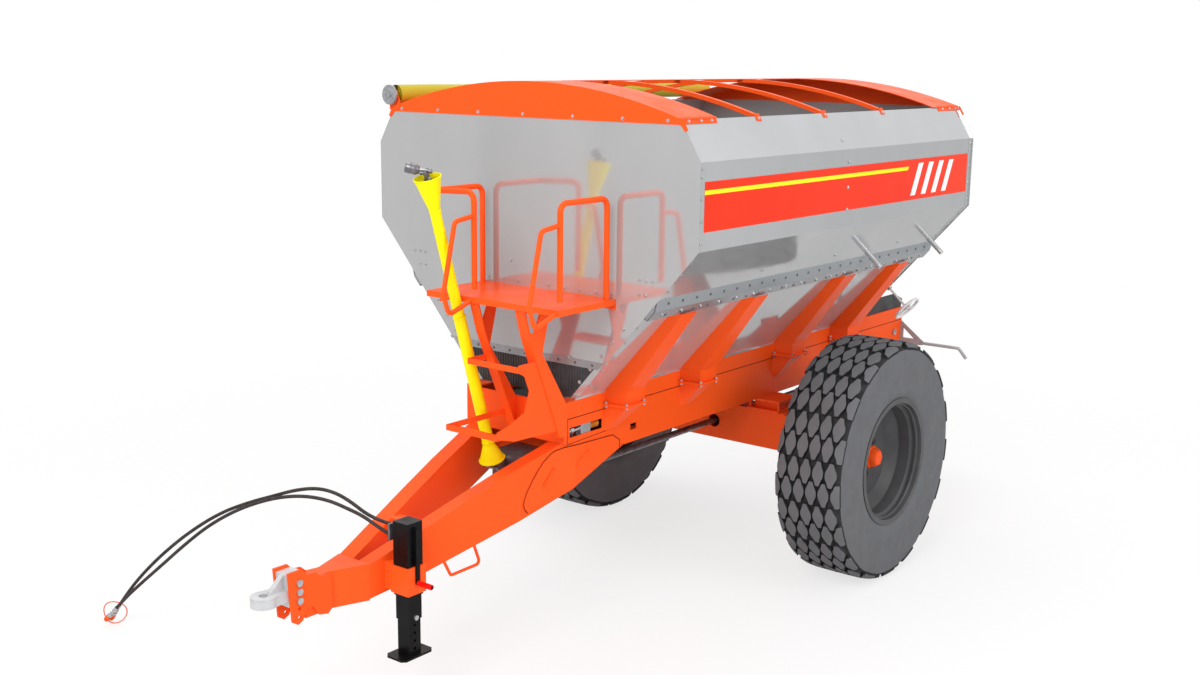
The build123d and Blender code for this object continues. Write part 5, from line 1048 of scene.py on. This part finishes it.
# Wheel nut, its washer and its stud as profile and steps round.
NUT = (
    ([(0, 0.018), (0.018, 0.018), (0.022, 0.0145)], 6),
    ([(0, 0.022), (0.003, 0.022)], 20),
    ([(0.02, 0.009), (0.032, 0.009), (0.034, 0.007)], 12),
)


def mirrored_half(half):
    """The other half of a profile that starts and ends on the middle plane, walked back."""
    return [(-x, r) for x, r in half[-2:0:-1]]


class SPREADER_OT_wheels(bpy.types.Operator):
    """Tyres with diamond lugs, hubs with hexagon caps and wheel nuts"""

    bl_idname = "spreader.wheels"
    bl_label = "Wheels"

    def execute(self, context):
        settings = context.scene.spreader_tyre
        pitch = settings.lug_pitch
        shaded_grooves = GROOVE_FLOOR + [(x, r - 0.003) for x, r in GROOVE_FLOOR[::-1]]
        for side, label in ((1, "left"), (-1, "right")):
            centre = Vector((side * WHEEL_CENTRE.x, WHEEL_CENTRE.y, WHEEL_CENTRE.z))
            body = f"wheel_{label}"
            # The carcass in plain rubber, then the ring of painted shade between the lugs.
            for name, half, finish, sharp, stands_for in (
                ("tyre_carcass", CARCASS, "tyre", 24, [f"tyre_{label}"]),
                ("groove_floor", shaded_grooves, "groove_shade", 30.0, []),
            ):
                shape = lathe(half + mirrored_half(half), centre, (side, 0, 0), 128, True)
                closed_piece(f"{name}_{label}", [shape], finish, body, "tyre_rubber", *stands_for, sharp=sharp)
            for row, phase, columns in LUG_ROWS:
                # Lug tops in plain rubber over blocks in painted shade.
                for kind, finish, slab in (
                    ("pads", "tyre", (0.0, PAD_DEPTH, 1.0)),
                    ("blocks", "groove_shade", (PAD_DEPTH * 0.8, settings.lug_height, 1.05)),
                ):
                    lugs = [tread_lug(x * pitch, settings, *slab) for x in columns]
                    piece = ring(
                        f"tread_{kind}_{row}_{label}", lugs, settings.pairs, phase / settings.pairs, centre,
                        finish, 28,
                    )
                    placed(piece, body, "tyre_rubber")
            self.hub(side, label, centre, body)
        return {"FINISHED"}

    def hub(self, side, label, centre, body):
        """Barrel and flange, orange hexagon cap, rim steps and the ring of wheel nuts."""
        out = (side, 0, 0)
        barrel = lathe(HUB_BARREL, centre, out, 64)
        closed_piece(f"hub_barrel_{label}", [barrel], "rim", body, "hub_paint", f"hub_{label}")
        piece = outward(mesh_piece(f"hub_cap_{label}", *lathe(HUB_CAP, centre, out, 6), FINISH["paint"], 20))
        placed(softened(piece, 0.003, 2), body, "hub_paint")
        steps = [[(end + along, RIM_BORE + rise) for along, rise in RIM_STEP] for end in RIM_STEPS_AT]
        rings = [lathe(step, centre, out, 96, True) for step in steps]
        closed_piece(f"rim_rings_{label}", rings, "rim", body, "hub_paint")
        nut = [lathe(profile, (side * 0.002, 0, 0.12), out, round_steps) for profile, round_steps in NUT]
        placed(ring(f"wheel_nuts_{label}", nut, 8, 0.0, centre, "rim"), body, "hub_paint")


# ---------------------------------------------------------------- hopper
def side_point(along, out, y, side=1):
    """Place on the slanted side: up from its foot, out from its face."""
    spot = SLOPE_FOOT + SLOPE_UP * along + SLOPE_OUT * out
    return Vector((side * spot.x, y, spot.z))


# Section of the folded ledge along each slanted side as (up the slope, out from it).
LEDGE = [(0.728, 0.0), (0.740, 0.034), (0.816, 0.034), (0.886, 0.0)]
# Heights of the band on the upright side and of the line in it, and how thick a film or a painted shadow strip
# is.
BAND_LOW, BAND_HIGH = 2.556, 2.832
LINE_LOW, LINE_HEIGHT = BAND_LOW + 0.205, 0.024
FILM = 0.0006
# Corner gusset of the roof as (outwards, up) from the sheets' top edge.
GUSSET = ((-0.007, -0.012), (0.040, -0.064), (0.058, -0.052), (0.023, 0.006))


class SPREADER_OT_hopper(bpy.types.Operator):
    """Hopper bolts, edge returns, side band and roof cap fittings"""

    bl_idname = "spreader.hopper"
    bl_label = "Hopper fittings"

    def execute(self, context):
        self.bolts(context.scene.spreader_fittings.sheet_bolt)
        self.returns()
        self.ledges()
        self.side_band()
        self.roof_fittings()
        return {"FINISHED"}

    def bolts(self, size):
        """Bolts of the side sheets and of the front and rear walls."""
        head = hex_head(size, size * 0.42, size * 0.72)
        sheet, wall = [], []
        front, rear = (0, -1, 0), (0, 1, 0)
        for side in (1, -1):
            out = (side, 0, 0)
            for step, z in ((1.62, 2.995), (1.66, 2.86), (1.66, 2.70), (1.66, 2.56)):
                tilt = (side * TOP_OUT.x, 0, TOP_OUT.z) if z > TOP_BEND.z else out
                x = TOP_BEND.x - max(0.0, z - TOP_BEND.z) * TOP_LEAN
                sheet.append(((side * x, FRONT_Y + step, z), tilt))
            for z in (2.50, 2.62, 2.74, 2.86, 2.905):
                sheet += [((side * SIDE_X, y, z), out) for y in (FRONT_Y + 0.03, REAR_Y - 0.03)]
            normal = (side * SLOPE_OUT.x, 0, SLOPE_OUT.z)
            for along in (0.12, 0.25, 0.38, 0.51, 0.64, 0.95, 1.08, 1.2):
                sheet += [(side_point(along, 0, y, side), normal) for y in (FRONT_Y + 0.035, REAR_Y - 0.035)]
            for distance in (1.0, 1.9, 2.8):
                sheet.append((side_point(0.97, 0, FRONT_Y + distance, side), normal))
            for along in (0.10, 0.22, 0.34, 0.46, 0.58):
                wall.append((side_point(along, -0.045, FRONT_Y, side), front))
                wall.append((side_point(along, -0.045, REAR_Y + 0.004, side), rear))
            wall += [((side * x, FRONT_Y, 1.745), front) for x in (0.35, 0.62)]
        wall.append(((-0.12, FRONT_Y, 2.28), front))
        heads("side_bolts", sheet, head, "zinc", "zinc")
        heads("wall_bolts", wall, head, "zinc", "zinc")

    def returns(self):
        """Pressed flange that the end walls turn round each edge of the side sheets."""
        edge = [(v.x, v.z) for v in (TOP_BEND, SLOPE_HEAD, SLOPE_FOOT)]
        depth = 0.05
        parts = []
        for side in (1, -1):
            for y in (FRONT_Y + 0.004, REAR_Y - depth):
                for (x0, z0), (x1, z1) in zip(edge, edge[1:]):
                    across = Vector((z0 - z1, 0, x1 - x0)).normalized() * 0.0022
                    parts.append(
                        prism(
                            [
                                (side * x0, y, z0), (side * x1, y, z1),
                                (side * x1, y + depth, z1), (side * x0, y + depth, z0),
                            ],
                            (side * across.x, 0, across.z),
                        )
                    )
        closed_piece("sheet_returns", parts, "stainless", "frame", "stainless")

    def ledges(self):
        """Closing plates on the ledges' open ends, and the two rows of dark rivets along each ledge."""
        plates, rivets = [], []
        (a0, o0), (a1, o1) = LEDGE[2:]
        # The way the ledge's upper face looks.
        fall = SLOPE_UP * (o0 - o1) + SLOPE_OUT * (a1 - a0)
        fall.normalize()
        for side in (1, -1):
            for y in (FRONT_Y + 0.004, REAR_Y - 0.0055):
                plates.append(prism([side_point(a, o, y, side) for a, o in LEDGE], (0, 0.0015, 0)))
            upper = (side * fall.x, 0, fall.z)
            lower = (side * SLOPE_OUT.x, 0, SLOPE_OUT.z)
            for k in range(24):
                y = FRONT_Y + 0.12 + k * (REAR_Y - FRONT_Y - 0.24) / 23
                rivets.append((side_point(0.852, 0.0168, y, side), upper))
                rivets.append((side_point(0.768, 0.0343, y + 0.03, side), lower))
        closed_piece("ledge_ends", plates, "strip", "frame", "stainless")
        heads("ledge_rivets", rivets, dome_head(0.0085, 0.004), "rivet", "zinc")

    def side_band(self):
        """Plain red-orange band with a straight yellow line and a run of slanted bars, on each side."""
        y0, y1 = FRONT_Y + 0.062, REAR_Y - 0.055
        line_end = y0 + 2.42
        top = LINE_LOW + LINE_HEIGHT
        low, high = BAND_LOW + 0.03, BAND_HIGH - 0.03
        slant = (high - low) * 0.5
        for side, label in ((1, "left"), (-1, "right")):
            grow = (side * FILM, 0, 0)
            x = side * (SIDE_X + 0.0002)
            red = [(x, y0, BAND_LOW), (x, y1, BAND_LOW), (x, y1, BAND_HIGH), (x, y0, BAND_HIGH)]
            closed_piece(f"side_band_{label}", [prism(red, grow)], "film", "frame", "orange_paint")
            x = side * (SIDE_X + 0.0009)
            bars = []
            for k in range(4):
                y = line_end + 0.06 + k * 0.16
                bar = [(x, y, low), (x, y + 0.07, low), (x, y + 0.07 + slant, high), (x, y + slant, high)]
                bars.append(prism(bar, grow))
            closed_piece(f"band_bars_{label}", bars, "film_white", "frame", "stainless")
            line = [(x, y0, LINE_LOW), (x, line_end, LINE_LOW), (x, line_end + 0.02, top), (x, y0, top)]
            closed_piece(f"band_lines_{label}", [prism(line, grow)], "film_yellow", "frame", "guard_yellow")

    def roof_fittings(self):
        """Bolts along the caps, corner gussets and the bows' end plates."""
        small = hex_head(0.015, 0.006, 0.0105)
        places = []
        for x in (-1.04, -0.72, -0.38, -0.02, 0.36, 0.72, 1.03):
            places.append(((x, FRONT_Y - 0.005, TOP_EDGE.z - 0.006), (0, -1, 0)))
            places.append(((x, REAR_Y + 0.009, TOP_EDGE.z - 0.006), (0, 1, 0)))
        heads("cap_bolts", places, small, "zinc", "zinc")
        parts, lap = [], []
        for side in (1, -1):
            slant = Vector((side * TOP_OUT.z, 0, -TOP_OUT.x))
            out = Vector((side * TOP_OUT.x, 0, TOP_OUT.z))
            top = Vector((side * (TOP_EDGE.x + 0.0005), 0, TOP_EDGE.z))
            # Plates over the roof's edge as where they start and end, how far they reach up and down it,
            # where their bolts stand down it, and the bolts' shares of the length.
            plates = [
                (FRONT_Y, FRONT_Y + 0.34, 0.012, 0.028, 0.012, (0.2, 0.55, 0.85)),
                (REAR_Y - 0.33, REAR_Y, 0.012, 0.028, 0.012, (0.2, 0.55, 0.85)),
            ]
            for bow in (0.775, 1.545, 2.310):
                y = FRONT_Y + bow
                plates.append((y - 0.025, y + 0.025, 0.018, 0.03, 0.014, (0.5,)))
            for y0, y1, above, below, down, shares in plates:
                a = top + out * 0.0005 - slant * above
                b = top + out * 0.0005 + slant * below
                outline = [(a.x, y0, a.z), (b.x, y0, b.z), (b.x, y1, b.z), (a.x, y1, a.z)]
                parts.append(prism(outline, out * 0.003))
                spot = top + out * 0.0035 + slant * down
                lap += [((spot.x, y0 + (y1 - y0) * share, spot.z), tuple(out)) for share in shares]
            for y in (FRONT_Y - 0.004, REAR_Y + 0.001):
                gusset = [(side * (TOP_EDGE.x + dx), y, TOP_EDGE.z + dz) for dx, dz in GUSSET]
                parts.append(prism(gusset, (0, 0.003, 0)))
        closed_piece("roof_laps", parts, "paint", "frame", "orange_paint")
        heads("lap_bolts", lap, small, "zinc", "zinc")


# Apron's lower and upper edge and its half width at the lower one.
APRON_FOOT, APRON_HEAD, APRON_HALF = 1.502, 1.700, 0.383
CLAMP_HEIGHT = 0.045
BELT_THICK = 0.0066


class SPREADER_OT_apron(bpy.types.Operator):
    """Ribbed rubber apron under the front wall, the skirts over the rear of the belt, and the belt"""

    bl_idname = "spreader.apron"
    bl_label = "Rubber apron"

    def execute(self, context):
        spread = (SLOPE_HEAD.x - SLOPE_FOOT.x) / (SLOPE_HEAD.z - SLOPE_FOOT.z)
        wide = APRON_HALF + (APRON_HEAD - APRON_FOOT) * spread
        parts = self.ribbed_sheet(context.scene.spreader_fittings.apron_rib, wide, spread)
        self.clamp(wide)
        rear = REAR_Y + 0.004
        for x, thickness in ((0.372, 0.006), (-0.378, 0.006)):
            skirt = [
                (x, rear, 1.490), (x, FRONT_Y + 4.25, 1.490), (x, FRONT_Y + 4.27, 1.552),
                (x, FRONT_Y + 4.13, 1.612), (x, rear, 1.612),
            ]
            parts.append(prism(skirt, (thickness, 0, 0)))
        closed_piece("rubber_apron", parts, "belt", "frame", "belt_rubber", "belt_seals", sharp=40)
        self.belt()
        return {"FINISHED"}

    def ribbed_sheet(self, pitch, wide, spread):
        """Sheet that widens with the hopper's slope, with upright ribs on its face."""
        back, face = FRONT_Y + 0.012, FRONT_Y + 0.0065
        outline = [
            (-APRON_HALF, back, APRON_FOOT), (APRON_HALF, back, APRON_FOOT),
            (wide, back, APRON_HEAD), (-wide, back, APRON_HEAD),
        ]
        parts = [prism(outline, (0, face - back, 0))]
        for i in range(int(2 * wide / pitch)):
            x = -wide + (i + 0.5) * pitch
            bottom = APRON_FOOT + max(0.0, abs(x) + pitch * 0.3 - APRON_HALF) / spread
            if bottom > APRON_HEAD - 0.02:
                continue
            half = pitch * 0.28
            section = [
                (x - half, face, bottom), (x + half, face, bottom),
                (x + half * 0.5, face - 0.006, bottom), (x - half * 0.5, face - 0.006, bottom),
            ]
            parts.append(prism(section, (0, 0, APRON_HEAD - bottom)))
        return parts

    def clamp(self, wide):
        """Stainless clamping strip over the apron's top edge, with its row of rivets."""
        top = APRON_HEAD + CLAMP_HEIGHT
        half = wide + CLAMP_HEIGHT * 0.89
        strip = [
            (-wide, FRONT_Y, APRON_HEAD), (wide, FRONT_Y, APRON_HEAD),
            (half, FRONT_Y, top), (-half, FRONT_Y, top),
        ]
        closed_piece("apron_clamp", [prism(strip, (0, -0.0025, 0))], "strip", "frame", "stainless")
        row = [((-0.52 + k * 0.13, FRONT_Y - 0.0025, APRON_HEAD + 0.022), (0, -1, 0)) for k in range(9)]
        heads("clamp_rivets", row, dome_head(0.008, 0.004), "rivet", "zinc")

    def belt(self):
        """The carrying belt: a closed loop with low cross ribs moulded on its outer face."""
        low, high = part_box("conveyor_belt")
        half = high[0]
        end_radius = (high[2] - low[2]) / 2
        middle = (high[2] + low[2]) / 2
        radius = end_radius - 0.003
        ends = (low[1] + end_radius, high[1] - end_radius)
        straight = ends[1] - ends[0]
        steps, bend_steps = 96, 20
        # The loop as (place, outward direction) in the plane of travel: along one run and round its end, twice.
        loop = []
        for start, end, sign in ((ends[0], ends[1], 1), (ends[1], ends[0], -1)):
            for i in range(steps):
                loop.append(((start + sign * straight * i / steps, middle + sign * radius), (0, sign)))
            for i in range(bend_steps):
                turn = sign * math.pi / 2 - math.pi * i / bend_steps
                ny, nz = math.cos(turn), math.sin(turn)
                loop.append(((end + radius * ny, middle + radius * nz), (ny, nz)))
        section = (
            (-half, -BELT_THICK), (-half, 0.0), (-half + 0.03, 0.0), (half - 0.03, 0.0), (half, 0.0),
            (half, -BELT_THICK),
        )
        points = [(x, y + ny * rise, z + nz * rise) for (y, z), (ny, nz) in loop for x, rise in section]
        parts = [(points, between_rings(len(loop), len(section), True))]
        for (y, z), (ny, nz) in loop[::2]:
            rib = [
                (-half + 0.04, y + nz * along + ny * rise, z - ny * along + nz * rise)
                for along, rise in ((-0.007, -0.001), (0.007, -0.001), (0.004, 0.003), (-0.004, 0.003))
            ]
            parts.append(prism(rib, (2 * half - 0.08, 0, 0)))
        closed_piece("carrying_belt", parts, "belt", "frame", "belt_rubber", "conveyor_belt")


class SPREADER_OT_tarp(bpy.types.Operator):
    """Tarpaulin rolled on its tube: one sheet wound in a loose spiral"""

    bl_idname = "spreader.tarp"
    bl_label = "Rolled tarpaulin"

    def execute(self, context):
        inner, outer = 0.0175, (TARP_HIGH[0] - TARP_LOW[0]) / 2 - 0.0015
        turns = 8.5
        steps = 40
        rows = 46
        y0, y1 = TARP_LOW[1] + 0.002, TARP_HIGH[1] - 0.002
        points = []
        total = int(turns * steps)
        for i in range(total + 1):
            share = i / total
            turn = math.tau * turns * share + 0.6
            radius = inner + (outer - inner) * share
            for j in range(rows + 1):
                y = y0 + (y1 - y0) * j / rows
                ripple = 0.0012 * math.sin(9.1 * y + 2.3 * math.sin(3.7 * y + turn)) * share
                sag = -0.00045 * share * math.sin(math.pi * j / rows)
                r = min(radius + ripple, outer)
                z = TARP_CENTRE.z + r * math.sin(turn) + sag
                points.append((TARP_CENTRE.x + r * math.cos(turn), y, z))
        faces = []
        for i in range(total):
            for j in range(rows):
                a = i * (rows + 1) + j
                b = a + rows + 1
                faces.append((a, a + 1, b + 1, b))
        tarp = mesh_piece("rolled_tarp", points, faces, FINISH["tarp"], 180)
        placed(tarp, "tarp", "tarp_cloth", "tarp_roll")
        return {"FINISHED"}


# ---------------------------------------------------------------- drive shaft fittings
SHAFT_NECK = [
    (-0.28, 0.0178), (-0.10, 0.0178), (-0.095, 0.024), (-0.05, 0.026), (-0.035, 0.022), (-0.03, 0.012)
]
YOKE_MOUTH = [
    (0.040, 0.020), (0.052, 0.0285), (0.060, 0.0305), (0.076, 0.0305), (0.078, 0.0280), (0.084, 0.0280),
    (0.086, 0.0310), (0.113, 0.0310), (0.116, 0.0290),
]
SPLINE_STEPS = 48
BELL_RING_LOWER = [(0.0425, 0.0775), (0.0425, 0.0800), (0.050, 0.0805), (0.052, 0.0755)]
BELL_RING_UPPER = [(1.832, 0.0740), (1.834, 0.0795), (1.8405, 0.0800), (1.8415, 0.0745)]


def joint_of(name):
    """A joint of the frame by name."""
    return next(joint for joint in frame["joints"] if joint["name"] == name)


class SPREADER_OT_shaft(bpy.types.Operator):
    """Splined yoke, cross and collars of the folded drive shaft"""

    bl_idname = "spreader.shaft"
    bl_label = "Drive shaft fittings"

    def execute(self, context):
        joint = joint_of("shaft_spin")
        centre = Vector(joint["pos_m"])
        up = Vector(joint["axis"]).normalized()
        yoke = Vector((-0.78, -0.58, 0.24)).normalized()
        pin_a = yoke.cross(up).normalized()
        pin_b = pin_a.cross(up).normalized()
        parts = [lathe([(-1.36, 0.0176), (-0.28, 0.0176)], centre, up, 32), lathe(SHAFT_NECK, centre, up, 32)]
        # Arms of both forks as (along the fork, across it) with the boss that ends them on the cross.
        forks = (
            (up, pin_a, ((-0.055, 0.012), (-0.035, 0.028), (0.0, 0.030))),
            (yoke, pin_b, ((0.050, 0.012), (0.030, 0.026), (0.0, 0.028))),
        )
        for side in (1, -1):
            for along, pin, arm in forks:
                parts.append(tube([centre + along * a + pin * side * b for a, b in arm], 0.0095, 10))
                boss = centre + pin * side * arm[-1][1]
                parts.append(lathe([(-0.006, 0.0125), (0.006, 0.0125)], boss, pin, 20))
        parts.append(lathe([(-0.03, 0.008), (0.03, 0.008)], centre, pin_a, 16))
        parts.append(lathe([(-0.028, 0.008), (0.028, 0.008)], centre, pin_b, 16))
        parts.append(self.splined_mouth(centre, yoke))
        closed_piece("splined_yoke", parts, "forged", "shaft_yoke", "zinc", "pto_yoke", sharp=35)
        self.collars(Vector(joint_of("shaft_swing")["pos_m"]), up)
        return {"FINISHED"}

    def splined_mouth(self, centre, yoke):
        """Outer yoke's mouth: six splines cut into its bore."""
        side, over, along = axes_along(yoke)
        rings = [(distance, [radius] * SPLINE_STEPS) for distance, radius in YOKE_MOUTH]
        bore = [0.0175 if i % 8 < 4 else 0.0205 for i in range(SPLINE_STEPS)]
        rings += [(distance, bore) for distance in (0.116, 0.048)]
        points = [
            on_ring(centre + along * distance, side, over, radius, math.tau * i / SPLINE_STEPS)
            for distance, radii in rings
            for i, radius in enumerate(radii)
        ]
        return points, between_rings(len(rings), SPLINE_STEPS)

    def collars(self, foot, up):
        """Guard collars: stop rings on the tubes and stiffening ribs on the bells."""
        lower = []
        for start, radius, width in ((0.158, 0.0385, 0.012), (0.985, 0.0385, 0.014), (0.62, 0.0372, 0.006)):
            end = start + width
            band = [
                (start, 0.033), (start, radius - 0.001), (start + 0.001, radius), (end - 0.001, radius),
                (end, radius - 0.001), (end, 0.033),
            ]
            lower.append(lathe(band, foot, up, 40, True))
        lower.append(lathe(BELL_RING_LOWER, foot, up, 48, True))
        closed_piece("lower_guard_collars", lower, "guard", "shaft_lower", "guard_yellow")
        upper = []
        for start, radius, width in ((1.635, 0.0345, 0.012), (1.52, 0.0335, 0.006)):
            band = [(start, 0.029), (start, radius), (start + width, radius), (start + width, 0.029)]
            upper.append(lathe(band, foot, up, 40, True))
        upper.append(lathe(BELL_RING_UPPER, foot, up, 48, True))
        closed_piece("upper_guard_collars", upper, "guard", "shaft_upper", "guard_yellow")


# ---------------------------------------------------------------- jack, hitch and drawbar
class SPREADER_OT_drawbar(bpy.types.Operator):
    """Lap plates of the drawbar beams, dark strips of painted shadow at the joints, and the sprung sleeves in
    the chassis windows
    """

    bl_idname = "spreader.drawbar"
    bl_label = "Drawbar fittings"

    def execute(self, context):
        # Lap plate with two pressed stiffeners where each beam meets the chassis.
        parts, rivets = [], []
        for side in (1, -1):
            parts += [self.lap(side, LAP_AHEAD), self.lap(side, LAP_BEHIND)] + self.ribs(side)
            rivets += [(self.beam_face(side, a, z, LAP_T), (side, 0, 0)) for a, z in LAP_RIVETS]
        closed_piece("beam_laps", parts, "paint", "frame", "orange_paint", sharp=25)
        heads("lap_rivets", rivets, dome_head(0.007, 0.004), "paint", "orange_paint")
        # Dark strips of painted shadow along the joints.
        self.joint_lines()
        self.window_sleeves()
        return {"FINISHED"}

    def beam_face(self, side, ahead, z, out=0.0):
        """Point on the outer face of a beam, or of the chassis behind the front wall."""
        return Vector((side * (CHASSIS_X - BEAM_SLOPE * max(ahead, 0.0) + out), FRONT_Y - ahead, z))

    def lap(self, side, outline):
        """Plate just off the beam's face."""
        gap = 0.0003
        return prism([self.beam_face(side, a, z, gap) for a, z in outline], (side * (LAP_T - gap), 0, 0))

    def ribs(self, side):
        """Long round-ended ribs pressed into the lap plates, in two steps."""
        made = []
        for (a0, z0), (a1, z1), half in LAP_RIBS:
            start, end = self.beam_face(side, a0, z0, LAP_T), self.beam_face(side, a1, z1, LAP_T)
            along = (end - start).normalized()
            over = along.cross(Vector((side, 0, 0))).normalized()
            for size, rise in ((half, 0.003), (half * 0.72, 0.006)):
                turns = [math.tau * k / 24 for k in range(24)]
                outline = [on_ring(start if math.cos(t) < 0 else end, along, over, size, t) for t in turns]
                made.append(prism(outline, (side * rise, 0, 0)))
        return made

    def joint_lines(self):
        """Dark strips painted as the shadow lines at the joints: round the lap plates, along the chassis join
        and at its front plate.
        """
        strips = []
        for side in (1, -1):
            for outline in (LAP_AHEAD[:-1], LAP_BEHIND[1:]):
                route = [self.beam_face(side, a, z, LAP_T) for a, z in outline]
                strips += [self.strip(a, b, side, 0.0026) for a, b in zip(route, route[1:])]
            for *ends, half in (
                ((0.104, 1.386), (-4.249, 1.386), 0.0024),
                ((0.070, 1.232), (0.070, 1.384), 0.0018),
                ((0.070, 1.232), (-0.300, 1.244), 0.0018),
            ):
                start, end = [Vector((side * (CHASSIS_X + 0.0001), FRONT_Y - a, z)) for a, z in ends]
                strips.append(self.strip(start, end, side, half))
        closed_piece("joint_lines", strips, "joint_shade", "frame", "orange_paint")

    def strip(self, start, end, side, half):
        """Thin strip between two points on a face that looks sideways."""
        along = (end - start).normalized()
        over = along.cross(Vector((side, 0, 0))).normalized() * half
        outline = [start - over, end - over, end + over, start + over]
        return prism(outline, (side * FILM, 0, 0))

    def window_sleeves(self):
        """Sprung sleeve of each belt tensioner, which shows in the chassis window behind its nut."""
        coils = [(0.0, 0.020)]
        for k in range(9):
            coils += [(0.004 + k * 0.012, 0.020), (0.007 + k * 0.012, 0.025), (0.012 + k * 0.012, 0.025)]
        coils += [(0.116, 0.020)]
        sleeves = [lathe(coils, (side * 0.352, FRONT_Y + 0.138, 1.299), (0, 1, 0), 32) for side in (1, -1)]
        closed_piece("tensioner_sleeves", sleeves, "amber", "frame", "zinc")


# ---------------------------------------------------------------- panel and running
OPERATORS = (
    SPREADER_OT_finishes,
    SPREADER_OT_stage,
    SPREADER_OT_hoses,
    SPREADER_OT_wheels,
    SPREADER_OT_hopper,
    SPREADER_OT_apron,
    SPREADER_OT_tarp,
    SPREADER_OT_shaft,
    SPREADER_OT_drawbar,
)
SETTINGS = (
    ("spreader_finish", SPREADER_PG_finish),
    ("spreader_tyre", SPREADER_PG_tyre),
    ("spreader_fittings", SPREADER_PG_fittings),
    ("spreader_stage", SPREADER_PG_stage),
)


class SPREADER_PT_panel(bpy.types.Panel):
    """Lists the spreader's settings and the steps that build it"""

    bl_idname = "SPREADER_PT_panel"
    bl_label = "Trailed belt spreader"
    bl_space_type = "VIEW_3D"
    bl_region_type = "UI"
    bl_category = "Spreader"

    def draw(self, context):
        for name, group in SETTINGS:
            box = self.layout.box()
            for prop in group.bl_rna.properties:
                if prop.identifier not in ("rna_type", "name"):
                    box.prop(getattr(context.scene, name), prop.identifier)
        for operator in OPERATORS:
            self.layout.operator(operator.bl_idname)


def register():
    """Register the settings, the steps and the panel."""
    for name, group in SETTINGS:
        bpy.utils.register_class(group)
        setattr(bpy.types.Scene, name, bpy.props.PointerProperty(type=group))
    for step in (*OPERATORS, SPREADER_PT_panel):
        bpy.utils.register_class(step)


def unregister():
    """Remove what register added."""
    for step in (SPREADER_PT_panel, *reversed(OPERATORS)):
        bpy.utils.unregister_class(step)
    for name, group in reversed(SETTINGS):
        delattr(bpy.types.Scene, name)
        bpy.utils.unregister_class(group)


def main():
    """Register and build everything in order."""
    register()
    for operator in OPERATORS:
        group, name = operator.bl_idname.split(".")
        getattr(getattr(bpy.ops, group), name)()


if __name__ == "__main__":
    main()
